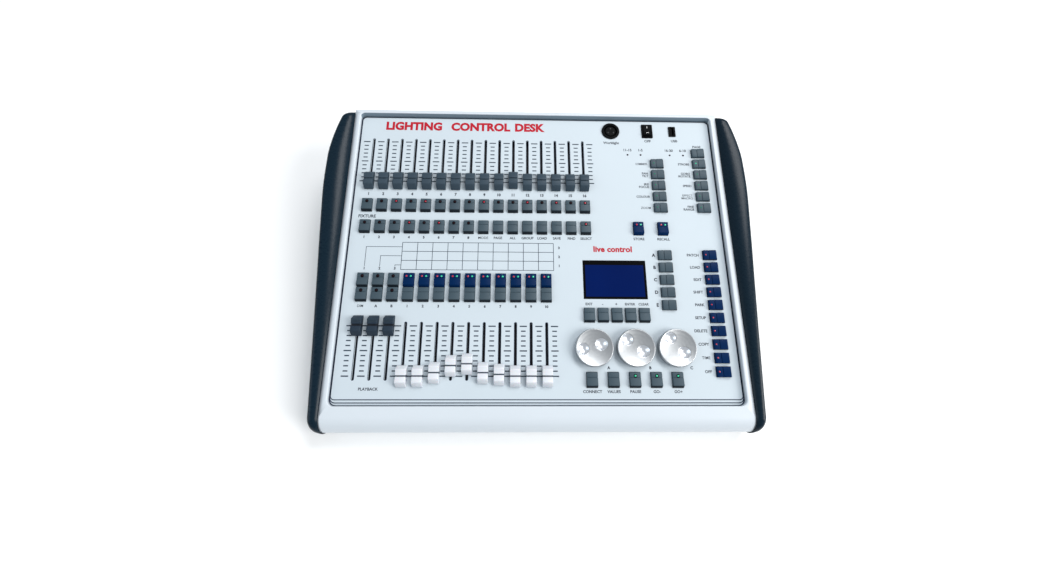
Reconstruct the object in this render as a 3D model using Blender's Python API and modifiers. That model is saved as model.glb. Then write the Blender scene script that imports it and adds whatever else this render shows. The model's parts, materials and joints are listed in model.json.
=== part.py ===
"""Lighting control desk: a sloping console with faders, keypads, jog wheels and a display.

Units are metres, +Z is up and the operator stands on the -Y side. The sloping top is
described in deck coordinates: x to the right, v up the slope from the front edge of the
opening, and n along the slope's normal from the rim's surface. Every piece on the slope
hangs under the empty deck_frame, whose axes are those.
"""

import math

import bmesh
import bpy
import numpy as np
from mathutils import Matrix

MM = 0.001
GAP = 0.3 * MM  # clearance between pieces that rest on each other

# The slope and the body under it
SLOPE = math.radians(8.0)
BODY_HALF_WIDTH = 250.0 * MM
RIM_FRONT_HEIGHT = 49.3 * MM  # height of the rim at the front edge of the opening
NOSE_RADIUS = 19.0 * MM
NOSE_V = -11.0 * MM  # centre of the round nose, one radius under the rim
BACK_RADIUS = 6.0 * MM
BACK_V = 389.6 * MM  # where the rim starts to round down at the back
COVER_THICKNESS = 2.5 * MM
LIP_DROP = 14.0 * MM  # how far the cover reaches down over the rear wall

# The opening in the cover and the panel under it
OPENING_HALF_WIDTH = 242.8 * MM
OPENING_LENGTH = 385.6 * MM
OPENING_CORNER = 6.0 * MM
BACK_WALL_LEAN = 3.8 * MM  # the opening's rear wall leans back by this much
FLANGE_THICKNESS = 1.8 * MM
RECESS = 6.5 * MM
PANEL_THICKNESS = 2.0 * MM
PANEL_UNDERSIDE = -(RECESS + PANEL_THICKNESS)

# Faders
FADER_PITCH = 19.05 * MM
FIXTURE_FADER_X = -223.0 * MM
FIXTURE_FADER_ZERO = 287.4 * MM
FIXTURE_FADERS = 16
PLAYBACK_FADER_X = -218.55 * MM
PLAYBACK_FADER_ZERO = 33.7 * MM
MASTER_FADERS = 3
PLAYBACK_FADERS = 10
FADER_TRAVEL = 59.5 * MM
SLOT_WIDTH = 2.6 * MM
SLOT_SPARE = 4.6 * MM  # the slot runs on past the travel at each end
CAP_WIDTH = 12.2 * MM
CAP_LENGTH = 25.0 * MM
CAP_HEIGHT = 9.0 * MM
# How far each playback fader stands above its zero, and the one raised fixture fader
PLAYBACK_RAISED = [0.0, 0.0, 3.9 * MM, 12.0 * MM, 14.1 * MM, 3.9 * MM, 1.9 * MM, 0.0, 0.0, 0.0]
FIXTURE_RAISED = {10: 2.5 * MM}

# Keys
UPRIGHT_KEY = (13.0 * MM, 18.0 * MM)
LYING_KEY = (18.0 * MM, 12.3 * MM)
KEY_PROUD = 4.5 * MM
KEY_CLEARANCE = 0.35 * MM
WEB_TOP = -11.0 * MM
WEB_THICKNESS = 1.4 * MM
LYING_PITCH = 16.35 * MM

# Wheels
WHEEL_X = [66.3 * MM, 116.4 * MM, 166.4 * MM]
WHEEL_V = 67.0 * MM
WHEEL_RADIUS = 22.8 * MM
WHEEL_HEIGHT = 8.6 * MM
WHEEL_TURN = [math.radians(a) for a in (187.0, 137.0, 125.0)]  # where the outer dimple lies
DIMPLE_RADIUS = 9.0 * MM
SHAFT_RADIUS = 3.0 * MM

# Display
DISPLAY_CENTRE = (97.1 * MM, 153.2 * MM)
DISPLAY_SIZE = (80.2 * MM, 50.3 * MM)

# Cheeks
CHEEK_PROUD = 1.5 * MM  # the cheeks stand this far outside the cover's side outline
CHEEK_EDGE = 4.0 * MM
CHEEK_WALL = 2.5 * MM
CHEEK_BACK_V = 381.0 * MM
CHEEK_BACK_RADIUS = 12.0 * MM
CHEEK_FLOOR = 6.0 * MM
CHEEK_WIDTH = [  # (distance behind the opening's front edge, width) in millimetres
    (-28.8, 5.0), (-26.5, 8.6), (-22.5, 11.0), (-14.5, 12.7), (0.0, 13.6), (60.0, 17.4),
    (140.0, 22.7), (220.0, 28.2), (285.0, 31.6), (320.0, 31.0), (345.0, 27.6),
    (365.0, 22.9), (379.0, 18.4), (386.0, 13.0), (389.5, 8.8), (390.8, 5.5),
]

# Tray, feet and rear connectors
TRAY_FLOOR = 8.0 * MM
SHEET = 1.5 * MM
TRAY_HALF_WIDTH = 249.5 * MM
TRAY_TOP_N = -10.5 * MM
FOOT_RADIUS = 9.0 * MM
FOOT_X = 205.0 * MM
INLET_CENTRE = (150.0 * MM, 48.0 * MM)  # x and height on the rear wall
DMX_CENTRE = (-135.0 * MM, 50.0 * MM)
DMX_PITCH = 36.0 * MM

SIN, COS = math.sin(SLOPE), math.cos(SLOPE)


def span_y(v, n):
    """Distance behind the front edge of the opening of a deck point."""
    return v * COS - n * SIN


BODY_FRONT = span_y(NOSE_V, -NOSE_RADIUS) - NOSE_RADIUS - CHEEK_PROUD
BODY_BACK = span_y(BACK_V, -BACK_RADIUS) + BACK_RADIUS
DECK_Y = -(BODY_FRONT + BODY_BACK) / 2  # puts the middle of the whole depth at Y = 0
REAR_WALL_Y = DECK_Y + BODY_BACK - COVER_THICKNESS - 0.5 * MM


def world(v, n):
    """World (y, z) of a deck point."""
    return DECK_Y + span_y(v, n), RIM_FRONT_HEIGHT + v * SIN + n * COS


# Scene, collections and small helpers

for old in list(bpy.data.objects):
    bpy.data.objects.remove(old, do_unlink=True)

parts = bpy.data.collections.new("lighting_control_desk")
cutters = bpy.data.collections.new("cutters")
bpy.context.scene.collection.children.link(parts)
bpy.context.scene.collection.children.link(cutters)

deck_frame = bpy.data.objects.new("deck_frame", None)
deck_frame.location = (0.0, DECK_Y, RIM_FRONT_HEIGHT)
deck_frame.rotation_euler = (SLOPE, 0.0, 0.0)
parts.objects.link(deck_frame)


def material(name, colour, roughness, metallic=0.0):
    made = bpy.data.materials.new(name)
    made.use_nodes = True
    shader = made.node_tree.nodes["Principled BSDF"]
    shader.inputs["Base Color"].default_value = (*colour, 1.0)
    shader.inputs["Roughness"].default_value = roughness
    shader.inputs["Metallic"].default_value = metallic
    return made


PAINT = material("white_paint", (0.72, 0.76, 0.79), 0.35)
PANEL_PAINT = material("panel_paint", (0.60, 0.70, 0.78), 0.45)
CHEEK_PLASTIC = material("cheek_plastic", (0.018, 0.026, 0.040), 0.38)
KEY_PLASTIC = material("key_plastic", (0.075, 0.11, 0.14), 0.45)
CAP_GREY = material("cap_grey", (0.07, 0.10, 0.13), 0.45)
CAP_DARK = material("cap_dark", (0.03, 0.045, 0.06), 0.4)
CAP_WHITE = material("cap_white", (0.85, 0.84, 0.86), 0.35)
ALUMINIUM = material("turned_aluminium", (0.80, 0.81, 0.83), 0.22, 1.0)
BLACK_PLASTIC = material("black_plastic", (0.012, 0.012, 0.014), 0.4)
DISPLAY_GLASS = material("display_glass", (0.004, 0.008, 0.05), 0.12)
CIRCUIT_BOARD = material("circuit_board", (0.02, 0.12, 0.05), 0.5)
GALVANISED = material("galvanised_sheet", (0.55, 0.57, 0.58), 0.4, 0.8)
FOOT_RUBBER = material("foot_rubber", (0.02, 0.02, 0.02), 0.8)


def add_object(name, mesh, on_deck=True, surface=None):
    """A finished piece, or a helper for a Boolean when it has no surface."""
    made = bpy.data.objects.new(name, mesh)
    if surface:
        mesh.materials.clear()
        mesh.materials.append(surface)
        parts.objects.link(made)
    else:
        made.hide_render = True
        made.display_type = "WIRE"
        cutters.objects.link(made)
    if on_deck:
        made.parent = deck_frame
    return made


def combine(target, helper, operation):
    """One Boolean on a piece: DIFFERENCE cuts the helper away, UNION joins it on."""
    modifier = target.modifiers.new(helper.name, "BOOLEAN")
    modifier.operation = operation
    modifier.object = helper


def boxes_mesh(name, boxes):
    """One mesh of separate boxes, each given by its low and high corners."""
    shape = bmesh.new()
    for low, high in boxes:
        size = [b - a for a, b in zip(low, high)]
        middle = [(a + b) / 2 for a, b in zip(low, high)]
        matrix = Matrix.Translation(middle) @ Matrix.Diagonal((*size, 1.0))
        bmesh.ops.create_cube(shape, size=1.0, matrix=matrix)
    mesh = bpy.data.meshes.new(name)
    shape.to_mesh(mesh)
    shape.free()
    return mesh


def cylinders_mesh(name, cylinders, segments=24):
    """One mesh of separate upright cylinders: (x, y, radius, low, high) each."""
    shape = bmesh.new()
    for x, y, radius, low, high in cylinders:
        bmesh.ops.create_cone(
            shape, cap_ends=True, segments=segments, radius1=radius, radius2=radius,
            depth=high - low, matrix=Matrix.Translation((x, y, (low + high) / 2)),
        )
    mesh = bpy.data.meshes.new(name)
    shape.to_mesh(mesh)
    shape.free()
    return mesh


def outline_mesh(name, outline, low, high, holes=(), axes="XYZ"):
    """A flat outline filled and thickened from low to high.

    axes says which axes the outline's two coordinates and its thickness lie along.
    """
    curve = bpy.data.curves.new(name, "CURVE")
    curve.dimensions = "2D"
    curve.fill_mode = "BOTH"
    curve.extrude = (high - low) / 2
    for loop in (outline, *holes):
        spline = curve.splines.new("POLY")
        spline.points.add(len(loop) - 1)
        for point, (a, b) in zip(spline.points, loop):
            point.co = (a, b, 0.0, 1.0)
        spline.use_cyclic_u = True
    guide = bpy.data.objects.new(name, curve)
    cutters.objects.link(guide)
    bpy.context.view_layer.update()
    evaluated = guide.evaluated_get(bpy.context.evaluated_depsgraph_get())
    mesh = bpy.data.meshes.new_from_object(evaluated)
    bpy.data.objects.remove(guide, do_unlink=True)
    turn = Matrix.Identity(4)
    for column, axis in enumerate(axes):
        for row in range(3):
            turn[row][column] = 1.0 if "XYZ"[row] == axis else 0.0
    mesh.transform(turn @ Matrix.Translation((0.0, 0.0, (low + high) / 2)))
    shape = bmesh.new()
    shape.from_mesh(mesh)
    bmesh.ops.remove_doubles(shape, verts=shape.verts, dist=1e-6)
    bmesh.ops.recalc_face_normals(shape, faces=shape.faces)
    shape.to_mesh(mesh)
    shape.free()
    return mesh


def rounded_rectangle(left, front, right, back, radius, steps=4):
    """Points round a rectangle with circular corners."""
    points = []
    corners = [(right, back, 0), (left, back, 90), (left, front, 180), (right, front, 270)]
    for x, y, start in corners:
        centre_x = x - math.copysign(radius, x - (left + right) / 2)
        centre_y = y - math.copysign(radius, y - (front + back) / 2)
        for step in range(steps + 1):
            angle = math.radians(start + 90 * step / steps)
            points.append((centre_x + radius * math.cos(angle), centre_y + radius * math.sin(angle)))
    return points


def turned_object(name, profile, steps, on_deck=True, surface=None):
    """A profile of (radius, height) points, from top to bottom, turned about Z."""
    mesh = bpy.data.meshes.new(name)
    edges = [(i, i + 1) for i in range(len(profile) - 1)]
    mesh.from_pydata([(radius, 0.0, height) for radius, height in profile], edges, [])
    made = add_object(name, mesh, on_deck, surface)
    screw = made.modifiers.new("turn", "SCREW")
    screw.steps = steps
    screw.render_steps = steps
    screw.use_merge_vertices = True
    screw.merge_threshold = 1e-6
    return made


def evaluated_mesh(made, name):
    """The object's mesh with its modifiers applied, for copies to share."""
    bpy.context.view_layer.update()
    graph = bpy.context.evaluated_depsgraph_get()
    mesh = bpy.data.meshes.new_from_object(made.evaluated_get(graph))
    mesh.name = name
    return mesh


def smooth_curve(points, at):
    """Heights at the given places on a smooth curve through (place, height) points."""
    place = np.array([p for p, _ in points])
    height = np.array([h for _, h in points])
    chord = np.diff(height) / np.diff(place)
    slope = np.zeros(len(points))
    rising = chord[1:] * chord[:-1] > 0
    slope[1:-1] = np.where(rising, 2 * chord[1:] * chord[:-1] / (chord[1:] + chord[:-1] + 1e-12), 0)
    slope[0], slope[-1] = chord[0], chord[-1]
    k = np.clip(np.searchsorted(place, at) - 1, 0, len(points) - 2)
    step = place[k + 1] - place[k]
    t = (at - place[k]) / step
    return (
        height[k] * (2 * t**3 - 3 * t**2 + 1)
        + slope[k] * step * (t**3 - 2 * t**2 + t)
        + height[k + 1] * (3 * t**2 - 2 * t**3)
        + slope[k + 1] * step * (t**3 - t**2)
    )


# Where every key lies: (x, v, size) in each keypad, the webs that join its keys, and the
# holes where two keys share one

def upright_row(first_x, v, count, pitch, size=UPRIGHT_KEY):
    return [(first_x + i * pitch, v, size) for i in range(count)]


def lying_column(x, first_v, count):
    return [(x, first_v - i * LYING_PITCH, LYING_KEY) for i in range(count)]


KEYPADS = {
    "fixture_keypad": {
        "keys": upright_row(FIXTURE_FADER_X, 252.3 * MM, 16, FADER_PITCH)
        + upright_row(FIXTURE_FADER_X, 222.3 * MM, 16, FADER_PITCH),
        "webs": [(-232.0, 211.5, 72.0, 263.5)],
    },
    "playback_keypad": {
        "keys": upright_row(PLAYBACK_FADER_X, 150.7 * MM, 13, FADER_PITCH)
        + upright_row(PLAYBACK_FADER_X, 132.3 * MM, 13, FADER_PITCH),
        "webs": [(-227.5, 121.5, 19.0, 161.5)],
        "holes": upright_row(
            PLAYBACK_FADER_X, 141.5 * MM, 13, FADER_PITCH, (13.0 * MM, 36.4 * MM)
        ),
    },
    "display_keypad": {
        "keys": upright_row(63.0 * MM, 107.5 * MM, 5, 17.06 * MM)
        + lying_column(163.5 * MM, 185.8 * MM, 5),
        "webs": [(54.0, 97.0, 174.5, 118.0), (152.5, 97.0, 174.5, 194.0)],
    },
    "function_keypad": {
        "keys": lying_column(221.8 * MM, 186.3 * MM, 10),
        "webs": [(211.0, 30.0, 233.0, 194.0)],
    },
    "bank_keypad": {
        "keys": upright_row(131.8 * MM, 222.4 * MM, 2, 32.2 * MM)
        + lying_column(164.0 * MM, 317.6 * MM, 5)
        + lying_column(222.1 * MM, 334.2 * MM, 6),
        "webs": [
            (122.5, 211.5, 175.0, 233.5), (153.0, 211.5, 175.0, 326.0),
            (153.0, 243.5, 233.0, 261.0), (211.0, 243.5, 233.0, 342.5),
        ],
    },
    "transport_keypad": {
        "keys": upright_row(63.1 * MM, 29.7 * MM, 5, 25.52 * MM),
        "webs": [(54.0, 19.5, 174.5, 40.0)],
    },
}

WORKLIGHT = (102.9 * MM, 368.4 * MM)
ROCKER = (154.2 * MM, 369.0 * MM)
USB = (189.5 * MM, 368.8 * MM)
ROCKER_HOLE = (14.2 * MM, 20.2 * MM)
USB_HOLE = (8.4 * MM, 14.4 * MM)
WORKLIGHT_HOLE = 10.6 * MM


def fader_columns(first_x, zero, count):
    return [(first_x + i * FADER_PITCH, zero) for i in range(count)]


ALL_FADERS = fader_columns(FIXTURE_FADER_X, FIXTURE_FADER_ZERO, FIXTURE_FADERS) + fader_columns(
    PLAYBACK_FADER_X, PLAYBACK_FADER_ZERO, MASTER_FADERS + PLAYBACK_FADERS
)


# Top cover: one bent shell from under the nose over the rim and down the back

def side_path():
    """Deck points along the cover's outer side outline, from under the nose to the back."""
    points = []
    for step in range(15):
        angle = math.radians(262.0 - (262.0 - 90.0) * step / 14)
        points.append(
            (NOSE_V + NOSE_RADIUS * math.cos(angle), NOSE_RADIUS * (math.sin(angle) - 1.0))
        )
    for step in range(6):
        angle = math.radians(90.0 - (90.0 + math.degrees(SLOPE)) * step / 5)
        points.append(
            (BACK_V + BACK_RADIUS * math.cos(angle), BACK_RADIUS * (math.sin(angle) - 1.0))
        )
    return points


def opening_block(name, margin, low, high):
    """A block with the opening's outline, whose rear wall leans back."""
    outline = rounded_rectangle(
        -OPENING_HALF_WIDTH - margin, -margin, OPENING_HALF_WIDTH + margin,
        OPENING_LENGTH + margin, OPENING_CORNER + margin, steps=5,
    )
    mesh = outline_mesh(name, outline, low, high)
    for vertex in mesh.vertices:
        if vertex.co.y > OPENING_LENGTH / 2:
            vertex.co.y += BACK_WALL_LEAN * (vertex.co.z + RECESS) / RECESS
    return add_object(name, mesh)


def make_top_cover():
    profile = [world(v, n) for v, n in side_path()]
    start_y, start_z = profile[0]
    end_y, end_z = profile[-1]
    profile.insert(0, (start_y + 15.0 * MM, start_z))
    profile.append((end_y, end_z - LIP_DROP))
    shape = bmesh.new()
    rows = [
        [shape.verts.new((x, y, z)) for y, z in profile] for x in (-BODY_HALF_WIDTH, BODY_HALF_WIDTH)
    ]
    for i in range(len(profile) - 1):
        shape.faces.new((rows[0][i], rows[1][i], rows[1][i + 1], rows[0][i + 1]))
    mesh = bpy.data.meshes.new("top_cover")
    shape.to_mesh(mesh)
    shape.free()
    cover = add_object("top_cover", mesh, on_deck=False, surface=PAINT)
    solidify = cover.modifiers.new("sheet", "SOLIDIFY")
    solidify.thickness = COVER_THICKNESS
    solidify.offset = -1.0
    solidify.use_even_offset = True
    combine(cover, opening_block("opening_flange", FLANGE_THICKNESS, -RECESS + GAP, -1.0 * MM), "UNION")
    combine(cover, opening_block("opening_cut", 0.0, -RECESS - 4.0 * MM, 6.0 * MM), "DIFFERENCE")


# Control panel with a hole for everything that comes through it

def make_control_panel():
    edge = 246.5 * MM
    plate = outline_mesh(
        "control_panel", rounded_rectangle(-edge, -5.0 * MM, edge, 389.3 * MM, 4.0 * MM),
        PANEL_UNDERSIDE, -RECESS,
    )
    panel = add_object("control_panel", plate, surface=PANEL_PAINT)
    below, above = PANEL_UNDERSIDE - 3.0 * MM, -RECESS + 3.0 * MM
    holes = []
    for x, zero in ALL_FADERS:
        half = SLOT_WIDTH / 2
        holes.append(((x - half, zero - SLOT_SPARE, below), (x + half, zero + FADER_TRAVEL + SLOT_SPARE, above)))
    for keypad in KEYPADS.values():
        for x, v, (width, length) in keypad.get("holes", keypad["keys"]):
            half_x, half_v = width / 2 + KEY_CLEARANCE, length / 2 + KEY_CLEARANCE
            holes.append(((x - half_x, v - half_v, below), (x + half_x, v + half_v, above)))
    for (x, v), (width, length) in (
        (DISPLAY_CENTRE, DISPLAY_SIZE), (ROCKER, ROCKER_HOLE), (USB, USB_HOLE),
    ):
        half_x, half_v = width / 2 + GAP, length / 2 + GAP
        holes.append(((x - half_x, v - half_v, below), (x + half_x, v + half_v, above)))
    combine(panel, add_object("panel_holes", boxes_mesh("panel_holes", holes)), "DIFFERENCE")
    round_holes = [(x, WHEEL_V, SHAFT_RADIUS + 0.8 * MM, below, above) for x in WHEEL_X]
    round_holes.append((*WORKLIGHT, WORKLIGHT_HOLE + GAP, below, above))
    combine(panel, add_object("round_holes", cylinders_mesh("round_holes", round_holes)), "DIFFERENCE")


# End cheeks: hollow mouldings, curved in plan, with a rounded outer edge

def cheek_chains():
    """World (y, z) points from front to back over the cheek's top and along its bottom.

    The two chains share their first and last points, and the points between them lie
    above one another.
    """
    reach = NOSE_RADIUS + CHEEK_PROUD
    front_y, front_z = world(NOSE_V, -NOSE_RADIUS)
    back_y, back_z = world(CHEEK_BACK_V, CHEEK_PROUD - CHEEK_BACK_RADIUS)
    slope_angle = math.radians(90.0) + SLOPE
    top, bottom = [], []
    for step in range(7):
        angle = math.pi - (math.pi - slope_angle) * step / 6
        y = front_y + reach * math.cos(angle)
        top.append((y, front_z + reach * math.sin(angle)))
        ahead = math.sin(math.acos((y - front_y) / reach))
        bottom.append((y, front_z - (front_z - CHEEK_FLOOR) * ahead))
    for v in (5, 40, 85, 140, 200, 250, 285, 305, 325, 345, 363):
        y, z = world(v * MM, CHEEK_PROUD)
        top.append((y, z))
        bottom.append((y, CHEEK_FLOOR))
    for step in range(7):
        angle = slope_angle * (1 - step / 6)
        y = back_y + CHEEK_BACK_RADIUS * math.cos(angle)
        top.append((y, back_z + CHEEK_BACK_RADIUS * math.sin(angle)))
        bottom.append((y, CHEEK_FLOOR))
    return top, bottom


def make_cheek(name, side):
    top, bottom = cheek_chains()
    stations = len(top)
    points = np.array(top + bottom[:0:-1])
    count = len(points)
    before, after = points - np.roll(points, 1, axis=0), np.roll(points, -1, axis=0) - points
    inward = np.zeros_like(points)
    for edge in (before, after):
        length = np.linalg.norm(edge, axis=1)[:, None]
        inward += np.stack([edge[:, 1], -edge[:, 0]], axis=1) / length
    inward /= np.linalg.norm(inward, axis=1)[:, None]
    shape = bmesh.new()
    start = BODY_HALF_WIDTH + GAP
    rings = [[shape.verts.new((side * start, y, z)) for y, z in points]]
    for angle in (0, 30, 60, 90):
        turn = math.radians(angle)
        place = points + inward * CHEEK_EDGE * (1 - math.cos(turn))
        width = smooth_curve(CHEEK_WIDTH, (place[:, 0] - DECK_Y) / MM) * MM
        reach = start + width - CHEEK_EDGE * (1 - math.sin(turn))
        rings.append([shape.verts.new((side * x, y, z)) for x, (y, z) in zip(reach, place)])
    faces = []
    for inner, outer in zip(rings, rings[1:]):
        for i in range(count):
            j = (i + 1) % count
            faces.append((inner[j], inner[i], outer[i], outer[j]))
    last = rings[-1]
    for k in range(stations - 1):
        corners = (last[k + 1], last[k], last[-k] if k else last[0], last[-k - 1])
        faces.append(tuple(dict.fromkeys(corners)))
    for face in faces:
        shape.faces.new(face if side > 0 else face[::-1])
    mesh = bpy.data.meshes.new(name)
    shape.to_mesh(mesh)
    shape.free()
    cheek = add_object(name, mesh, on_deck=False, surface=CHEEK_PLASTIC)
    solidify = cheek.modifiers.new("wall", "SOLIDIFY")
    solidify.thickness = CHEEK_WALL
    solidify.offset = -1.0


# Base tray: floor, walls and the plates that the cheeks screw to

def make_base_tray():
    def top_line(y):
        return RIM_FRONT_HEIGHT + (y - DECK_Y) * math.tan(SLOPE) + TRAY_TOP_N / COS

    tongue_y = DECK_Y - 4.0 * MM
    front_y = DECK_Y + 9.5 * MM
    back_y = REAR_WALL_Y
    floor_top = TRAY_FLOOR + SHEET
    outline = [
        (tongue_y, TRAY_FLOOR), (back_y, TRAY_FLOOR), (back_y, top_line(back_y)),
        (front_y, top_line(front_y)), (front_y, floor_top), (tongue_y, floor_top),
    ]
    mesh = outline_mesh("base_tray", outline, -TRAY_HALF_WIDTH, TRAY_HALF_WIDTH, axes="YZX")
    tray = add_object("base_tray", mesh, on_deck=False, surface=PAINT)
    inside = [
        (front_y + SHEET, floor_top), (back_y - SHEET, floor_top),
        (back_y - SHEET, top_line(back_y) + 0.02), (front_y + SHEET, top_line(front_y) + 0.02),
    ]
    half = TRAY_HALF_WIDTH - SHEET
    pocket = add_object(
        "tray_pocket", outline_mesh("tray_pocket", inside, -half, half, axes="YZX"), on_deck=False
    )
    combine(tray, pocket, "DIFFERENCE")
    plates = []
    for low, high in ((-TRAY_HALF_WIDTH, -half), (half, TRAY_HALF_WIDTH)):
        plates.append(((low, 14.0 * MM, -26.0 * MM), (high, 378.0 * MM, -3.2 * MM)))
    combine(tray, add_object("cheek_plates", boxes_mesh("cheek_plates", plates)), "UNION")
    inlet_x, inlet_z = INLET_CENTRE
    dmx_x, dmx_z = DMX_CENTRE
    cuts = [
        ((inlet_x - 13.9 * MM, back_y - 0.01, inlet_z - 10.2 * MM),
         (inlet_x + 13.9 * MM, back_y + 0.01, inlet_z + 10.2 * MM)),
        ((dmx_x - 31.0 * MM, back_y - 0.01, dmx_z - 12.5 * MM),
         (dmx_x + 31.0 * MM, back_y + 0.01, dmx_z + 12.5 * MM)),
    ]
    combine(tray, add_object("rear_cuts", boxes_mesh("rear_cuts", cuts), on_deck=False), "DIFFERENCE")


def make_feet():
    profile = [(0.0, TRAY_FLOOR - GAP), (FOOT_RADIUS, TRAY_FLOOR - GAP),
               (FOOT_RADIUS, 2.0 * MM), (FOOT_RADIUS - 1.5 * MM, 0.0), (0.0, 0.0)]
    for end, y in (("front", DECK_Y + 32.0 * MM), ("back", DECK_Y + 352.0 * MM)):
        for hand, x in (("left", -FOOT_X), ("right", FOOT_X)):
            foot = turned_object(f"foot_{end}_{hand}", profile, 20, on_deck=False, surface=FOOT_RUBBER)
            foot.location = (x, y, 0.0)


# Keypads: the keys of one area and the web under the panel that joins them

def make_keypads():
    for name, keypad in KEYPADS.items():
        webs = [
            ((left * MM, front * MM, WEB_TOP - WEB_THICKNESS), (right * MM, back * MM, WEB_TOP))
            for left, front, right, back in keypad["webs"]
        ]
        pad = add_object(name, boxes_mesh(name, webs[:1]), surface=KEY_PLASTIC)
        for number, web in enumerate(webs[1:]):
            piece = f"{name}_web_{number}"
            combine(pad, add_object(piece, boxes_mesh(piece, [web])), "UNION")
        keys = []
        for x, v, (width, length) in keypad["keys"]:
            length -= GAP  # keeps stacked keys apart
            keys.append(((x - width / 2, v - length / 2, WEB_TOP - 0.5 * MM),
                         (x + width / 2, v + length / 2, KEY_PROUD - RECESS)))
        combine(pad, add_object(f"{name}_keys", boxes_mesh(f"{name}_keys", keys)), "UNION")


# Faders: a saddle-shaped cap on a blade that runs in the slide potentiometer's slot

def cap_outline():
    half, foot, top = CAP_LENGTH / 2, 1.0 * MM, CAP_HEIGHT
    right = [
        (half, foot), (half, foot + 1.4 * MM), (8.0 * MM, top - 0.3 * MM), (6.6 * MM, top),
        (1.4 * MM, top - 1.8 * MM), (0.9 * MM, top - 2.6 * MM),
    ]
    return right + [(-v, n) for v, n in reversed(right)]


def make_faders():
    half = CAP_WIDTH / 2
    sample = add_object(
        "fader_sample", outline_mesh("fader_sample", cap_outline(), -half, half, axes="YZX")
    )
    blade = boxes_mesh("blade", [((-0.6 * MM, -2.0 * MM, -7.5 * MM), (0.6 * MM, 2.0 * MM, 1.8 * MM))])
    combine(sample, add_object("blade", blade), "UNION")
    shapes = {
        surface.name: evaluated_mesh(sample, f"fader_{surface.name}")
        for surface in (CAP_GREY, CAP_DARK, CAP_WHITE)
    }

    def place(name, x, v, surface):
        fader = add_object(name, shapes[surface.name], surface=surface)
        fader.location = (x, v, -RECESS)

    for i, (x, zero) in enumerate(fader_columns(FIXTURE_FADER_X, FIXTURE_FADER_ZERO, FIXTURE_FADERS)):
        place(f"fixture_fader_{i + 1:02d}", x, zero + FIXTURE_RAISED.get(i, 0.0), CAP_GREY)
    lower = fader_columns(PLAYBACK_FADER_X, PLAYBACK_FADER_ZERO, MASTER_FADERS + PLAYBACK_FADERS)
    for i, (x, zero) in enumerate(lower[:MASTER_FADERS]):
        place(f"master_fader_{i + 1}", x, zero + FADER_TRAVEL, CAP_DARK)
    for i, (x, zero) in enumerate(lower[MASTER_FADERS:]):
        place(f"playback_fader_{i + 1:02d}", x, zero + PLAYBACK_RAISED[i], CAP_WHITE)


def make_fader_bank(name, first_x, zero, count):
    """A circuit board with one slide potentiometer for each fader."""
    middle = zero + FADER_TRAVEL / 2
    left, right = first_x - 7.5 * MM, first_x + (count - 1) * FADER_PITCH + 7.5 * MM
    top, bottom = PANEL_UNDERSIDE - 2.0 * MM, -17.5 * MM
    board = boxes_mesh(name, [((left, middle - 41.0 * MM, bottom - 1.6 * MM), (right, middle + 41.0 * MM, bottom))])
    bank = add_object(name, board, surface=CIRCUIT_BOARD)
    bodies, slots = [], []
    for i in range(count):
        x = first_x + i * FADER_PITCH
        bodies.append(((x - 4.5 * MM, middle - 38.5 * MM, bottom - 0.5 * MM), (x + 4.5 * MM, middle + 38.5 * MM, top)))
        reach = FADER_TRAVEL / 2 + 3.5 * MM
        slots.append(((x - 1.5 * MM, middle - reach, top - 4.5 * MM), (x + 1.5 * MM, middle + reach, top + 2.0 * MM)))
    combine(bank, add_object(f"{name}_bodies", boxes_mesh(f"{name}_bodies", bodies)), "UNION")
    combine(bank, add_object(f"{name}_slots", boxes_mesh(f"{name}_slots", slots)), "DIFFERENCE")


# Jog wheels, each a dished disc with two finger dimples on its shaft

def make_wheels():
    base, top = -RECESS + 1.0 * MM, -RECESS + WHEEL_HEIGHT
    profile = [
        (0.0, top - 2.6 * MM), (7.0 * MM, top - 2.3 * MM), (13.0 * MM, top - 1.6 * MM),
        (18.0 * MM, top - 0.8 * MM), (21.8 * MM, top), (WHEEL_RADIUS, top - 0.8 * MM),
        (WHEEL_RADIUS, base + 0.6 * MM), (WHEEL_RADIUS - 0.6 * MM, base),
        (SHAFT_RADIUS, base), (SHAFT_RADIUS, -19.5 * MM), (0.0, -19.5 * MM),
    ]
    sample = turned_object("wheel_sample", profile, 32)
    for number, (reach, angle) in enumerate(((14.2 * MM, 0.0), (9.6 * MM, math.radians(-162.0)))):
        shape = bmesh.new()
        centre = (reach * math.cos(angle), reach * math.sin(angle), top + 4.6 * MM)
        bmesh.ops.create_uvsphere(
            shape, u_segments=16, v_segments=14, radius=DIMPLE_RADIUS,
            matrix=Matrix.Translation(centre),
        )
        mesh = bpy.data.meshes.new(f"dimple_{number}")
        shape.to_mesh(mesh)
        shape.free()
        combine(sample, add_object(f"dimple_{number}", mesh), "DIFFERENCE")
    shared = evaluated_mesh(sample, "jog_wheel")
    for number, (x, turn) in enumerate(zip(WHEEL_X, WHEEL_TURN)):
        wheel = add_object(f"jog_wheel_{number + 1}", shared, surface=ALUMINIUM)
        wheel.location = (x, WHEEL_V, 0.0)
        wheel.rotation_euler = (0.0, 0.0, turn)


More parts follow.
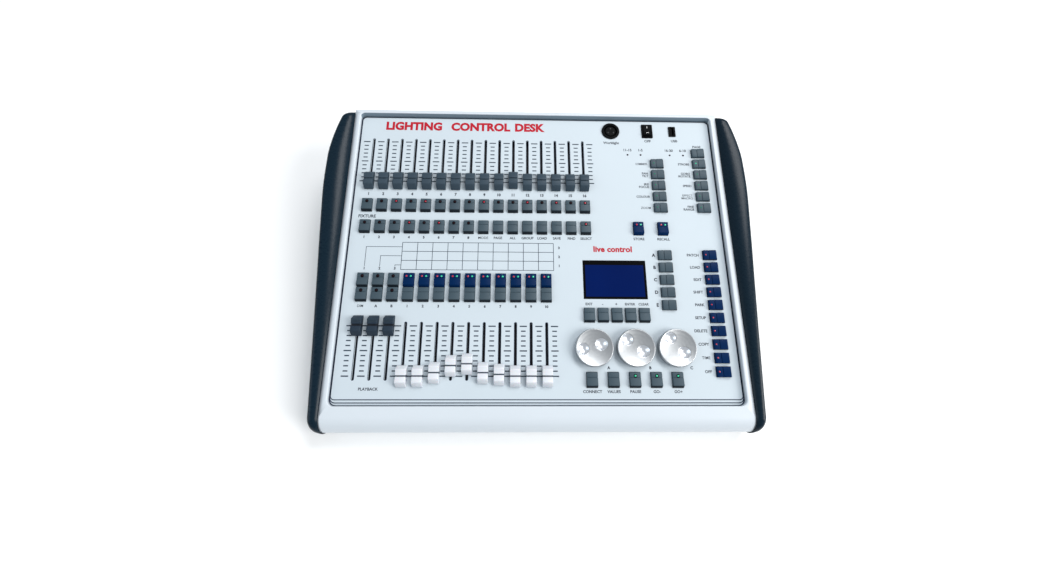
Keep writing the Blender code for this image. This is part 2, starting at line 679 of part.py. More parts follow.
def make_wheel_board():
    """The encoder board: three encoder bodies with a bore for each wheel's shaft."""
    top, bottom = -11.0 * MM, -22.4 * MM
    board = boxes_mesh("wheel_board", [((40.0 * MM, 46.0 * MM, bottom - 1.6 * MM), (193.0 * MM, 88.0 * MM, bottom))])
    made = add_object("wheel_board", board, surface=CIRCUIT_BOARD)
    half = 7.0 * MM
    bodies = [((x - half, WHEEL_V - half, bottom - 0.5 * MM), (x + half, WHEEL_V + half, top)) for x in WHEEL_X]
    combine(made, add_object("encoder_bodies", boxes_mesh("encoder_bodies", bodies)), "UNION")
    bores = [(x, WHEEL_V, SHAFT_RADIUS + 0.25 * MM, -20.0 * MM, top + 2.0 * MM) for x in WHEEL_X]
    combine(made, add_object("encoder_bores", cylinders_mesh("encoder_bores", bores)), "DIFFERENCE")


# Display and main board

def make_display():
    x, v = DISPLAY_CENTRE
    width, length = DISPLAY_SIZE
    window = rounded_rectangle(x - width / 2, v - length / 2, x + width / 2, v + length / 2, 1.0 * MM, 2)
    mesh = outline_mesh("display_window", window, PANEL_UNDERSIDE, -RECESS + 0.3 * MM)
    add_object("display_window", mesh, surface=DISPLAY_GLASS)
    module = boxes_mesh("display_module", [((x - 46.5 * MM, v - 28.5 * MM, -17.0 * MM), (x + 46.5 * MM, v + 28.5 * MM, -8.9 * MM))])
    add_object("display_module", module, surface=GALVANISED)


def make_main_board():
    corners = [
        (-236.0, 112.0), (48.0, 112.0), (48.0, 95.0), (205.0, 95.0), (205.0, 42.0), (48.0, 42.0),
        (48.0, 18.0), (238.0, 18.0), (238.0, 345.0), (112.0, 345.0), (112.0, 268.0), (-236.0, 268.0),
    ]
    x, v = (c / MM for c in DISPLAY_CENTRE)
    hole = [(x - 47.5, v - 29.5), (x + 47.5, v - 29.5), (x + 47.5, v + 29.5), (x - 47.5, v + 29.5)]
    outline = [(a * MM, b * MM) for a, b in corners]
    window = [(a * MM, b * MM) for a, b in hole]
    mesh = outline_mesh("main_board", outline, -15.6 * MM, -14.0 * MM, holes=[window])
    add_object("main_board", mesh, surface=CIRCUIT_BOARD)


# Sockets, switch and power

def socket_profile(flange, barrel, insert, depth, top):
    """A round socket: flange, barrel behind it, and a groove round its insert."""
    return [
        (0.0, top - 0.6 * MM), (insert, top - 0.6 * MM), (insert, top - 6.0 * MM),
        (insert + 1.5 * MM, top - 6.0 * MM), (insert + 1.5 * MM, top - 0.4 * MM),
        (insert + 1.9 * MM, top), (flange - 0.5 * MM, top), (flange, top - 0.5 * MM),
        (flange, top - 1.5 * MM), (barrel, top - 1.5 * MM), (barrel, top - depth), (0.0, top - depth),
    ]


def pin_holes(top):
    """Three contact holes on the round insert."""
    holes = []
    for angle in (90.0, 210.0, 330.0):
        x, y = (4.0 * MM * f(math.radians(angle)) for f in (math.cos, math.sin))
        holes.append((x, y, 1.3 * MM, top - 8.0 * MM, top + 1.0 * MM))
    return cylinders_mesh("pin_holes", holes, segments=10)


def make_worklight_socket():
    top = -RECESS + 1.5 * MM
    profile = socket_profile(12.4 * MM, WORKLIGHT_HOLE, 7.4 * MM, 16.0 * MM, top + GAP)
    socket = turned_object("worklight_socket", profile, 28, surface=BLACK_PLASTIC)
    socket.location = (*WORKLIGHT, 0.0)
    holes = add_object("worklight_holes", pin_holes(top))
    holes.location = (*WORKLIGHT, 0.0)
    combine(socket, holes, "DIFFERENCE")


def make_usb_socket():
    x, v = USB
    width, length = USB_HOLE
    collar = rounded_rectangle(x - 4.9 * MM, v - 7.9 * MM, x + 4.9 * MM, v + 7.9 * MM, 0.8 * MM, 2)
    top = -RECESS + 0.9 * MM
    socket = add_object(
        "usb_socket", outline_mesh("usb_socket", collar, -RECESS + GAP, top), surface=BLACK_PLASTIC
    )
    body = boxes_mesh("usb_body", [((x - width / 2, v - length / 2, top - 15.0 * MM), (x + width / 2, v + length / 2, top - 0.3 * MM))])
    combine(socket, add_object("usb_body", body), "UNION")
    mouth = boxes_mesh("usb_mouth", [((x - 2.4 * MM, v - 6.2 * MM, top - 10.0 * MM), (x + 2.4 * MM, v + 6.2 * MM, top + 0.002))])
    combine(socket, add_object("usb_mouth", mouth), "DIFFERENCE")
    tongue = boxes_mesh("usb_tongue", [((x - 1.6 * MM, v - 5.6 * MM, top - 11.0 * MM), (x + 0.3 * MM, v + 5.6 * MM, top - 1.2 * MM))])
    combine(socket, add_object("usb_tongue", tongue), "UNION")


ROCKER_TILT = math.radians(7.0)
ROCKER_AXIS_N = -RECESS - 1.0 * MM


def make_rocker():
    x, v = ROCKER
    width, length = ROCKER_HOLE
    collar = rounded_rectangle(x - 7.7 * MM, v - 10.7 * MM, x + 7.7 * MM, v + 10.7 * MM, 1.0 * MM, 2)
    top = -RECESS + 1.4 * MM
    housing = add_object(
        "rocker_housing", outline_mesh("rocker_housing", collar, -RECESS + GAP, top), surface=BLACK_PLASTIC
    )
    body = boxes_mesh("housing_body", [((x - width / 2, v - length / 2, top - 17.0 * MM), (x + width / 2, v + length / 2, top - 0.4 * MM))])
    combine(housing, add_object("housing_body", body), "UNION")
    well = boxes_mesh("housing_well", [((x - 5.9 * MM, v - 8.9 * MM, top - 9.0 * MM), (x + 5.9 * MM, v + 8.9 * MM, top + 0.002))])
    combine(housing, add_object("housing_well", well), "DIFFERENCE")
    half = [(8.3, 4.2), (8.4, 1.0), (7.2, -3.2), (4.0, -5.0)]
    outline = [(0.0, 2.9 * MM)] + [(a * MM, b * MM) for a, b in half]
    outline += [(-a * MM, b * MM) for a, b in reversed(half)]
    mesh = outline_mesh("rocker_switch", outline, -5.5 * MM, 5.5 * MM, axes="YZX")
    rocker = add_object("rocker_switch", mesh, surface=BLACK_PLASTIC)
    rocker.location = (x, v, ROCKER_AXIS_N)
    rocker.rotation_euler = (-ROCKER_TILT, 0.0, 0.0)


def make_mains_inlet():
    x, z = INLET_CENTRE
    y = REAR_WALL_Y + GAP
    flange = rounded_rectangle(x - 15.5 * MM, z - 12.0 * MM, x + 15.5 * MM, z + 12.0 * MM, 2.0 * MM, 3)
    mesh = outline_mesh("mains_inlet", flange, y, y + 2.2 * MM, axes="XZY")
    inlet = add_object("mains_inlet", mesh, on_deck=False, surface=BLACK_PLASTIC)
    pieces = [
        ("inlet_body", (13.5, 9.8, -20.0, 1.0), "UNION"),
        ("inlet_well", (12.0, 8.3, -14.5, 4.0), "DIFFERENCE"),
    ]
    for name, (half_x, half_z, near, far), operation in pieces:
        box = ((x - half_x * MM, y + near * MM, z - half_z * MM), (x + half_x * MM, y + far * MM, z + half_z * MM))
        combine(inlet, add_object(name, boxes_mesh(name, [box]), on_deck=False), operation)
    pins = []
    for pin_x, pin_z in ((-7.0, -2.0), (0.0, 2.0), (7.0, -2.0)):
        middle_x, middle_z = x + pin_x * MM, z + pin_z * MM
        pins.append(((middle_x - 1.0 * MM, y - 15.0 * MM, middle_z - 2.0 * MM),
                     (middle_x + 1.0 * MM, y - 6.5 * MM, middle_z + 2.0 * MM)))
    combine(inlet, add_object("inlet_pins", boxes_mesh("inlet_pins", pins), on_deck=False), "UNION")


def make_dmx_plate():
    x, z = DMX_CENTRE
    y = REAR_WALL_Y + GAP
    outline = rounded_rectangle(x - 38.0 * MM, z - 16.0 * MM, x + 38.0 * MM, z + 16.0 * MM, 2.5 * MM, 3)
    mesh = outline_mesh("dmx_output_plate", outline, y, y + 1.6 * MM, axes="XZY")
    plate = add_object("dmx_output_plate", mesh, on_deck=False, surface=BLACK_PLASTIC)
    top = 2.4 * MM
    for number, offset in enumerate((-DMX_PITCH / 2, DMX_PITCH / 2)):
        profile = socket_profile(12.4 * MM, 11.4 * MM, 7.4 * MM, 20.0 * MM, top)
        socket = turned_object(f"dmx_socket_{number}", profile, 28, on_deck=False)
        holes = add_object(f"dmx_holes_{number}", pin_holes(top), on_deck=False)
        room = cylinders_mesh("dmx_room", [(0.0, 0.0, 9.4 * MM, -6.0 * MM, top + 1.0 * MM)], segments=28)
        room = add_object(f"dmx_room_{number}", room, on_deck=False)
        for helper in (room, socket, holes):
            helper.rotation_euler = (-math.pi / 2, 0.0, 0.0)
            helper.location = (x + offset, y, z)
        combine(plate, room, "DIFFERENCE")
        combine(plate, socket, "UNION")
        combine(plate, holes, "DIFFERENCE")


def make_power_supply():
    low = (45.0 * MM, DECK_Y + 285.0 * MM, TRAY_FLOOR + SHEET + GAP)
    high = (155.0 * MM, DECK_Y + 350.0 * MM, TRAY_FLOOR + SHEET + 32.0 * MM)
    supply = add_object("power_supply", boxes_mesh("power_supply", [(low, high)]), on_deck=False, surface=GALVANISED)
    ledge = boxes_mesh("terminal_ledge", [((low[0] - 0.01, low[1] - 0.01, low[2] + 14.0 * MM), (low[0] + 16.0 * MM, high[1] + 0.01, high[2] + 0.01))])
    combine(supply, add_object("terminal_ledge", ledge, on_deck=False), "DIFFERENCE")


make_top_cover()
make_control_panel()
make_cheek("cheek_left", -1)
make_cheek("cheek_right", 1)
make_base_tray()
make_feet()
make_keypads()
make_faders()
make_fader_bank("fader_bank_upper", FIXTURE_FADER_X, FIXTURE_FADER_ZERO, FIXTURE_FADERS)
make_fader_bank("fader_bank_lower", PLAYBACK_FADER_X, PLAYBACK_FADER_ZERO, MASTER_FADERS + PLAYBACK_FADERS)
make_wheels()
make_wheel_board()
make_display()
make_main_board()
make_worklight_socket()
make_usb_socket()
make_rocker()
make_mains_inlet()
make_dmx_plate()
make_power_supply()

for made in parts.objects:
    if made.type == "MESH" and made.name.startswith(("jog_wheel", "foot", "cheek", "worklight")):
        made.data.shade_smooth()
        made.data.set_sharp_from_angle(angle=math.radians(35.0))
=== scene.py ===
import json
import math

import bmesh
import bpy
import numpy as np
from mathutils import Matrix, Vector


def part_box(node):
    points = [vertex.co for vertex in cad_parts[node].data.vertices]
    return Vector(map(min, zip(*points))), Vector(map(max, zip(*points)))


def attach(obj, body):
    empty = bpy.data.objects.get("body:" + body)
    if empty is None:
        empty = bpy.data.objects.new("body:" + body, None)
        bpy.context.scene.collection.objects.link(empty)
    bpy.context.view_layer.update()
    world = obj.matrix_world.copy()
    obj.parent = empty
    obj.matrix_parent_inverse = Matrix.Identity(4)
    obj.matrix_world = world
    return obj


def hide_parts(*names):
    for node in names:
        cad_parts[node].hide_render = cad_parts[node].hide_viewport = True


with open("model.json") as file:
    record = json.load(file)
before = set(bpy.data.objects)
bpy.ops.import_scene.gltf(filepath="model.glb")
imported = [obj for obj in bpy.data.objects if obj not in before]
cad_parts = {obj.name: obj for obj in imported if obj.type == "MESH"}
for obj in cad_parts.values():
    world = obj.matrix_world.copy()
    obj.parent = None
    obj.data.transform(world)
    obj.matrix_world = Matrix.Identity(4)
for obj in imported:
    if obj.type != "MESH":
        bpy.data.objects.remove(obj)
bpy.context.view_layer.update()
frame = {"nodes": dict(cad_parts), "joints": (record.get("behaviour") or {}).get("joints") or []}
mm = 0.001

# The slope's own axes: x across, v uphill from the front edge of the opening, n out of the rim
joints = {joint["name"]: joint for joint in frame["joints"]}
uphill = np.array(joints["master_fader_1_slide"]["axis"])
cosSlope, sinSlope = uphill[1], uphill[2]
panelFacts = {"front": -5 * mm, "top": -6.5 * mm, "under": -8.5 * mm}
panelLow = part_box("control_panel")[0]
deckY = panelLow.y - panelFacts["front"] * cosSlope + panelFacts["top"] * sinSlope
deckZ = panelLow.z - panelFacts["front"] * sinSlope - panelFacts["under"] * cosSlope
panelTop = panelFacts["top"]


def toWorld(points):
    # (x, v, n) on the slope to the frame's (x, y, z): a turn by the slope, then the deck's place
    x, v, n = np.moveaxis(np.asarray(points, float), -1, 0)
    return np.stack([x, deckY + v * cosSlope - n * sinSlope, deckZ + v * sinSlope + n * cosSlope], -1)


def pointsOf(mesh):
    points = np.zeros(len(mesh.vertices) * 3)
    mesh.vertices.foreach_get("co", points)
    return points.reshape(-1, 3)


def deckBox(node):
    # lowest and highest (x, v, n) of a CAD node
    x, y, z = pointsOf(nodes[node].data).T
    v = (y - deckY) * cosSlope + (z - deckZ) * sinSlope
    n = (z - deckZ) * cosSlope - (y - deckY) * sinSlope
    deck = np.stack([x, v, n], -1)
    return deck.min(0), deck.max(0)


def middleOf(node):
    low, high = deckBox(node)
    return (low[:2] + high[:2]) / 2


def link(item):
    bpy.context.scene.collection.objects.link(item)
    return item


nodes = frame["nodes"]
print("frame loaded, slope", round(math.degrees(math.asin(sinSlope)), 2), "degrees")


# Camera, placed from the slope's own axes

cameraFacts = {"place": (-26.9, 20.0, 473.2), "lens": 13.55, "sensor": 36.0, "turn": (0.2518, -0.0228, 0.0032)}


def makeCamera():
    # the turn is a rotation vector on the slope's axes
    turn = Vector(cameraFacts["turn"])
    data = bpy.data.cameras.new("camera")
    data.lens, data.sensor_width = cameraFacts["lens"], cameraFacts["sensor"]
    data.clip_start = 0.01
    camera = link(bpy.data.objects.new("camera", data))
    deckTurn = Matrix.Rotation(math.asin(sinSlope), 4, "X")
    place = toWorld(np.array(cameraFacts["place"]) * mm)
    camera.matrix_world = Matrix.Translation(place) @ deckTurn @ Matrix.Rotation(turn.length, 4, turn)
    bpy.context.scene.camera = camera


makeCamera()


# Shader maths

class Flow:
    # a socket's value, with the arithmetic that the materials use
    def __init__(self, graph, socket):
        self.graph, self.socket = graph, socket

    def join(self, operation, other):
        return self.graph.node("ShaderNodeMath", {0: self, 1: other}, operation=operation)

    def __add__(self, other):
        return self.join("ADD", other)

    def __sub__(self, other):
        return self.join("SUBTRACT", other)

    def __mul__(self, other):
        return self.join("MULTIPLY", other)

    def __gt__(self, other):
        return self.join("GREATER_THAN", other)

    def __lt__(self, other):
        return self.join("LESS_THAN", other)


class Graph:
    # one material and its Principled shader
    def __init__(self, name, **values):
        self.material = bpy.data.materials.new(name)
        self.material.use_nodes = True
        self.tree = self.material.node_tree
        self.shader = self.tree.nodes["Principled BSDF"]
        self.set(**values)

    def set(self, **values):
        for name, value in values.items():
            # shine stands for the specular level; other names follow their sockets
            label = "".join(" " + c if c.isupper() else c for c in name).title()
            self.give(self.shader.inputs["Specular IOR Level" if name == "shine" else label], value)

    def give(self, socket, value):
        if isinstance(value, Flow):
            self.tree.links.new(value.socket, socket)
        elif isinstance(value, tuple) and len(value) == 3 and socket.type == "RGBA":
            socket.default_value = (*value, 1.0)
        else:
            socket.default_value = value

    def node(self, kind, values, output=0, **settings):
        made = self.tree.nodes.new(kind)
        for name, value in settings.items():
            setattr(made, name, value)
        for key, value in values.items():
            self.give(made.inputs[key], value)
        return Flow(self, made.outputs[output])

    def place(self):
        return self.node("ShaderNodeTexCoord", {}, "Object")

    def axes(self):
        split = self.node("ShaderNodeSeparateXYZ", {0: self.place()}).socket.node
        return [Flow(self, output) for output in split.outputs]

    def alone(self, operation, value):
        return self.node("ShaderNodeMath", {0: value}, operation=operation)

    def noise(self, scale, detail=2.0, at=None):
        return self.node("ShaderNodeTexNoise", {"Vector": at or self.place(), "Scale": scale, "Detail": detail})

    def mix(self, factor, first, second):
        made = self.tree.nodes.new("ShaderNodeMix")
        made.data_type = "RGBA"
        for socket, value in ((made.inputs[0], factor), (made.inputs[6], first), (made.inputs[7], second)):
            self.give(socket, value)
        return Flow(self, made.outputs[2])

    def relief(self, height, strength, distance):
        values = {"Height": height, "Strength": strength, "Distance": distance}
        self.set(normal=self.node("ShaderNodeBump", values))


def scaled(colour, factor):
    return tuple(min(1.0, c * factor) for c in colour)


def moulded(name, colour, roughness, grain=1400.0, depth=0.02, shift=0.12, **values):
    # moulded or coated surface: a fine grain in the relief, slow drifts in colour and gloss
    graph = Graph(name, **values)
    slow = graph.noise(18.0)
    graph.set(baseColor=graph.mix(slow, scaled(colour, 1 - shift), scaled(colour, 1 + shift)))
    graph.set(roughness=graph.noise(260.0) * 0.12 + (roughness - 0.06))
    graph.relief(graph.noise(grain, 3.0), depth, 0.3 * mm)
    return graph


def turnedMetal(name, colour, roughness):
    # fine turning rings: a sine of the distance from the piece's own centre, kept in its UV map
    graph = Graph(name, metallic=1.0)
    uv = graph.node("ShaderNodeUVMap", {}, uv_map="turning")
    away = graph.node("ShaderNodeVectorMath", {0: uv}, "Value", operation="LENGTH")
    ring = graph.alone("SINE", away * 1500.0)
    grain = graph.noise(400.0, 2.0, uv)
    graph.set(baseColor=graph.mix(grain, scaled(colour, 0.94), colour))
    graph.set(roughness=grain * 0.10 + (ring * 0.02 + roughness))
    graph.relief(ring * 0.5 + grain * 0.5, 0.05, 0.05 * mm)
    return graph


def lamp(name, colour, power):
    # a lit lens
    return Graph(name, baseColor=colour, roughness=0.25, coatWeight=0.6, emissionColor=colour, emissionStrength=power)


def ink(name, colour):
    # printed ink: slightly uneven cover
    graph = Graph(name, roughness=0.55, shine=0.2)
    light = tuple(min(1.0, c * 1.25 + 0.01) for c in colour)
    graph.set(baseColor=graph.mix(graph.noise(900.0), colour, light))
    return graph


def bandedMaterial(name, upper, lower, level, roughness):
    # a board with dark parts on it: which of the two a point is follows from its height over the slope
    graph = Graph(name, roughness=0.5)
    _, y, z = graph.axes()
    height = (z - deckZ) * cosSlope - (y - deckY) * sinSlope
    tracks = graph.node("ShaderNodeTexBrick", {
        "Vector": graph.place(), "Scale": 60.0, "Color1": lower,
        "Color2": scaled(lower, 1.5), "Mortar": scaled(lower, 0.6),
    })
    graph.set(baseColor=graph.mix(height > level, tracks, upper), roughness=graph.noise(80.0) * 0.1 + roughness)
    return graph


look = {
    "cover": moulded("coverPaint", (0.565, 0.615, 0.665), 0.38, 1100.0, 0.05, 0.02, shine=0.4),
    # painted shade: the recess's rear wall takes a darker blue-grey than the cover, standing in for the shade that
    # falls on it
    "wall": moulded("rearWall", (0.14, 0.19, 0.235), 0.45, 1100.0, 0.05, 0.03, shine=0.3),
    "panel": moulded("panelFilm", (0.505, 0.57, 0.62), 0.55, 2600.0, 0.05, 0.02, shine=0.2),
    "cheek": moulded("cheekPlastic", (0.002, 0.011, 0.021), 0.28, 1800.0, 0.004, 0.06, shine=0.16),
    "keyGrey": moulded("keySlate", (0.046, 0.072, 0.092), 0.45, 2200.0, 0.05, shine=0.2),
    "keyNavy": moulded("keyNavy", (0.0001, 0.015, 0.066), 0.42, 2200.0, 0.05, shine=0.06),
    # painted shade: a near-black for the steep ends of the grey keys, standing in for the shade on them
    "keyShade": moulded("keyEdge", (0.006, 0.011, 0.017), 0.5, 2200.0, 0.05, shine=0.2),
    "capGrey": moulded("capSlate", (0.034, 0.055, 0.076), 0.45, 2000.0, 0.05, shine=0.2),
    "capDark": moulded("capDark", (0.017, 0.030, 0.048), 0.42, 2000.0, 0.05, shine=0.2),
    "capWhite": moulded("capWhite", (0.63, 0.645, 0.69), 0.36, 2000.0, 0.03, 0.02, subsurfaceWeight=0.05),
    "capLine": moulded("capLine", (0.035, 0.050, 0.075), 0.5, 2000.0, 0.03),
    "capBlack": moulded("capGroove", (0.004, 0.007, 0.014), 0.4, 2000.0, 0.03, shine=0.3),
    "black": moulded("blackPlastic", (0.003, 0.0035, 0.004), 0.5, 1900.0, 0.04, shine=0.04),
    "web": moulded("keyWeb", (0.02, 0.022, 0.026), 0.7, 900.0, 0.05),
    "rubber": moulded("footRubber", (0.015, 0.015, 0.015), 0.8, 800.0, 0.15),
    "tray": moulded("trayPaint", (0.60, 0.64, 0.69), 0.45, 700.0, 0.12, 0.03),
    "zinc": moulded("zincSheet", (0.45, 0.47, 0.49), 0.42, 300.0, 0.04, 0.15, metallic=0.9),
    "metal": moulded("screwSteel", (0.42, 0.43, 0.45), 0.3, 900.0, 0.03, 0.05, metallic=1.0),
    "darkMetal": moulded("screwBlack", (0.02, 0.02, 0.022), 0.35, 900.0, 0.03, 0.05, metallic=0.6),
    "wheel": turnedMetal("wheelAluminium", (0.46, 0.48, 0.50), 0.31),
    "dimple": turnedMetal("dimplePolish", (0.88, 0.91, 0.96), 0.28),
    "board": bandedMaterial("keyBoard", (0.02, 0.10, 0.04), (0.02, 0.10, 0.04), 0.0, 0.4),
    "bank": bandedMaterial("faderBank", (0.003, 0.003, 0.004), (0.02, 0.10, 0.04), -17.4 * mm, 0.4),
    "encoders": bandedMaterial("encoderBoard", (0.01, 0.01, 0.012), (0.02, 0.10, 0.04), -22.3 * mm, 0.4),
    "ledRed": lamp("ledRed", (0.36, 0.002, 0.026), 0.16),
    "ledGreen": lamp("ledGreen", (0.01, 0.42, 0.22), 0.3),
    "ledDark": moulded("ledDark", (0.012, 0.0006, 0.005), 0.35, shine=0.1),
    "ledMoss": moulded("ledMoss", (0.004, 0.16, 0.09), 0.3, shine=0.2),
    "ink": ink("inkSlate", (0.012, 0.016, 0.028)),
    "inkSoft": ink("inkSoft", (0.022, 0.034, 0.055)),
    # dark lines; the outer loop of the panel border drawn with this is painted shadow in the gap at the opening's edge
    "inkLine": ink("inkLine", (0.018, 0.028, 0.055)),
    "inkRed": ink("inkRed", (0.36, 0.003, 0.015)),
    "inkWhite": ink("inkWhite", (0.75, 0.75, 0.75)),
}
print("materials", len(look))


# Pieces from worked-out surfaces

def gridFaces(rows, columns, wrap=False):
    # quads between neighbouring rows and columns of a grid; wrap joins the last column to the first
    index = np.arange(rows * columns).reshape(rows, columns)
    if wrap:
        index = np.hstack([index, index[:, :1]])
    quads = np.stack([index[:-1, :-1], index[:-1, 1:], index[1:, 1:], index[1:, :-1]], -1)
    return [tuple(quad) for quad in quads.reshape(-1, 4).tolist()]


def addPiece(name, parts, replaces=(), body="console", sharp=30.0, closed=True, uv=None):
    # parts are (points, faces, material name) in the frame's axes, joined into one mesh
    points, faces, kinds, start = [], [], [], 0
    used = list(dict.fromkeys(part[2] for part in parts))
    for partPoints, partFaces, kind in parts:
        points.append(np.asarray(partPoints, float).reshape(-1, 3))
        faces += [tuple(i + start for i in face) for face in partFaces]
        kinds += [used.index(kind)] * len(partFaces)
        start += len(points[-1])
    mesh = bpy.data.meshes.new(name)
    mesh.from_pydata(np.vstack(points).tolist(), [], faces)
    for kind in used:
        mesh.materials.append(look[kind].material)
    mesh.polygons.foreach_set("material_index", np.array(kinds, np.int32))
    if uv is not None:
        corners = np.zeros(len(mesh.loops), np.int32)
        mesh.loops.foreach_get("vertex_index", corners)
        layer = mesh.uv_layers.new(name="turning")
        layer.data.foreach_set("uv", np.asarray(uv, np.float32)[corners].ravel())
    if closed:
        shape = bmesh.new()
        shape.from_mesh(mesh)
        bmesh.ops.remove_doubles(shape, verts=shape.verts, dist=1e-6)
        bmesh.ops.recalc_face_normals(shape, faces=shape.faces)
        shape.to_mesh(mesh)
        shape.free()
    mesh.shade_smooth()
    mesh.set_sharp_from_angle(angle=math.radians(sharp))
    made = link(bpy.data.objects.new(name, mesh))
    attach(made, body)
    if replaces:
        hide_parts(*replaces)
    return made


def sweptBlock(profile, half, edge, floor, steps=3):
    # a side profile (along, up) carried across: the profile moves in along its own normal
    # over a quarter circle at each side, then the side drops to the floor
    profile = np.asarray(profile, float)
    tangent = np.gradient(profile, axis=0)
    tangent /= np.linalg.norm(tangent, axis=1)[:, None]
    normal = np.stack([-tangent[:, 1], tangent[:, 0]], -1)
    angle = np.radians(np.linspace(0, 90, steps + 1))
    across = np.concatenate([[half], half - edge + edge * np.cos(angle)])
    inset = np.concatenate([[edge], edge * (1 - np.sin(angle))])
    across = np.concatenate([-across, across[::-1]])
    inset = np.concatenate([inset, inset[::-1]])
    grid = np.zeros((len(profile), len(across), 3))
    grid[:, :, 0] = across
    grid[:, :, 1:] = profile[:, None] - normal[:, None] * inset[:, None]
    grid[:, [0, -1], 2] = floor
    grid[..., 2] = np.maximum(grid[..., 2], floor)
    rows, columns = grid.shape[:2]
    faces = gridFaces(rows, columns, wrap=True)
    faces += [tuple(range(columns)), tuple(range((rows - 1) * columns, rows * columns))]
    return grid, faces, columns


def turned(profile, count, unit=mm):
    # a profile of (radius, height) carried round the upright axis
    profile = np.array(profile, float) * unit
    angle = np.linspace(0, 2 * math.pi, count, endpoint=False)
    radius = profile[:, 0, None]
    grid = np.stack([radius * np.cos(angle), radius * np.sin(angle), profile[:, 1, None] + 0 * angle], -1)
    return grid, gridFaces(len(profile), count, wrap=True)


def roundedOutline(left, front, right, back, radius, steps=8, frontRadius=None):
    # counter-clockwise points of a rectangle with quarter circles at its corners
    frontRadius = radius if frontRadius is None else frontRadius
    angle = np.radians(np.linspace(0, 90, steps + 1))
    loops = []
    for x, v, start, r in ((right, back, 0, radius), (left, back, 90, radius),
                           (left, front, 180, frontRadius), (right, front, 270, frontRadius)):
        centre = np.array([x - math.copysign(r, x - (left + right) / 2), v - math.copysign(r, v - (front + back) / 2)])
        turn = angle + math.radians(start)
        loops.append(centre + r * np.stack([np.cos(turn), np.sin(turn)], -1))
    return np.concatenate(loops)


def prism(rows, steps=4):
    # rounded rectangles (left, front, right, back, radius, height), joined in order and closed at both ends
    rings = [np.column_stack([roundedOutline(*row[:5], steps), np.full(4 * steps + 4, row[5])]) for row in rows]
    rings = np.array(rings)
    count = rings.shape[1]
    ends = [tuple(range(k * count, k * count + count)) for k in (0, len(rows) - 1)]
    return rings, gridFaces(len(rows), count, wrap=True) + ends


def parted(faces, flags):
    # the faces whose flag is set, then the others
    return [[face for face, flag in zip(faces, flags) if bool(flag) is wanted] for wanted in (True, False)]


def onDeck(grid, x=0.0, v=0.0, n=panelTop, turn=0.0):
    # local points turned in the slope's plane, moved to a place on it, then to the frame's axes
    grid = np.asarray(grid, float)
    c, s = math.cos(turn), math.sin(turn)
    across, along, up = np.moveaxis(grid, -1, 0)
    return toWorld(np.stack([x + across * c - along * s, v + across * s + along * c, n + up], -1))


# Top cover

coverFacts = {
    "half": 250 * mm, "nose": 19 * mm, "noseV": -11 * mm, "backRadius": 6 * mm, "backV": 389.6 * mm,
    "openingHalf": 242.8 * mm, "openingLength": 385.6 * mm, "cornerBack": 6 * mm, "cornerFront": 8 * mm,
    "lean": 2.7 * mm, "recess": 6.5 * mm, "wallFoot": -6.2 * mm, "edge": 0.9 * mm, "sheet": 1.9 * mm,
    "return": 15 * mm, "lip": 14 * mm,
}


def openingRing(out, depth):
    # the opening's outline moved out by a distance, at a height over the rim; its rear wall leans back
    f = coverFacts
    ring = roundedOutline(-f["openingHalf"] - out, -out, f["openingHalf"] + out, f["openingLength"] + out,
                          f["cornerBack"] + out, 8, f["cornerFront"] + out)
    lean = f["lean"] * (depth + f["recess"]) / f["recess"]
    ring[:, 1] += np.where(ring[:, 1] > f["openingLength"] / 2, lean, 0.0)
    return np.column_stack([ring, np.full(len(ring), depth)])


def makeCover():
    f = coverFacts
    half, front, back = f["half"], f["noseV"], f["backV"]
    arc = np.radians(np.linspace(0, 90, 5))
    rings = [openingRing(0.0, f["wallFoot"]), openingRing(0.0, (f["wallFoot"] - f["edge"]) / 2)]
    rings += [openingRing(f["edge"] * (1 - math.cos(a)), f["edge"] * (math.sin(a) - 1)) for a in arc]
    inner = rings[-1]
    # outer points: rays from each corner's centre to the rim's rectangle
    centre = np.array([0.0, (front + back) / 2])
    corner = np.sign(inner[:, :2] - centre) * (np.array([half, (back - front) / 2]) - f["backRadius"]) + centre
    steps = np.tile(np.radians(np.linspace(0, 90, 9)), 4) + np.repeat(np.radians([0, 90, 180, 270]), 9)
    way = np.stack([np.cos(steps), np.sin(steps)], -1)
    reach = f["backRadius"] / np.abs(way).max(axis=1)
    outer = corner + way * reach[:, None]
    rings.append(np.column_stack([outer, np.zeros(len(outer))]))
    rings = np.array(rings)
    ringFaces = gridFaces(len(rings), rings.shape[1], wrap=True)
    columns = rings.shape[1]
    # the rear wall's faces up to the rim take that darker grey as painted shade
    isShadedWall = [face[0] < 3 * columns and rings[0, face[0] % columns, 1] > f["openingLength"] - 3 * mm
              for face in ringFaces]
    shadedWallFaces, rimFaces = parted(ringFaces, isShadedWall)
    parts = [(toWorld(rings), rimFaces, "cover"), (toWorld(rings), shadedWallFaces, "wall")]
    # nose and back: an arc and a straight return carried across the width, with the rim's own stations
    level, plumb = np.array([cosSlope, -sinSlope]) * f["return"], np.array([-sinSlope, -cosSlope]) * f["lip"]
    for edge, radius, last, count, tail in (
            (front, f["nose"], 262, 49, level), (back, f["backRadius"], -math.degrees(math.asin(sinSlope)), 13, plumb)):
        turn = np.radians(np.linspace(90, last, count))
        path = np.stack([edge + radius * np.cos(turn), radius * (np.sin(turn) - 1)], -1)
        path = np.vstack([path, path[-1] + tail])
        stations = np.unique(np.round(outer[np.abs(outer[:, 1] - edge) < 1e-7, 0], 9))
        grid = np.zeros((len(path), len(stations), 3))
        grid[:, :, 0] = stations
        grid[:, :, 1:] = path[:, None]
        parts.append((toWorld(grid), gridFaces(len(path), len(stations)), "cover"))
    cover = addPiece("coverShell", parts, ["top_cover"], sharp=40)
    wall = cover.modifiers.new("sheet", "SOLIDIFY")
    wall.thickness, wall.offset = f["sheet"], -1.0
    wall.use_even_offset = True


makeCover()
print("cover made")


# End cheeks

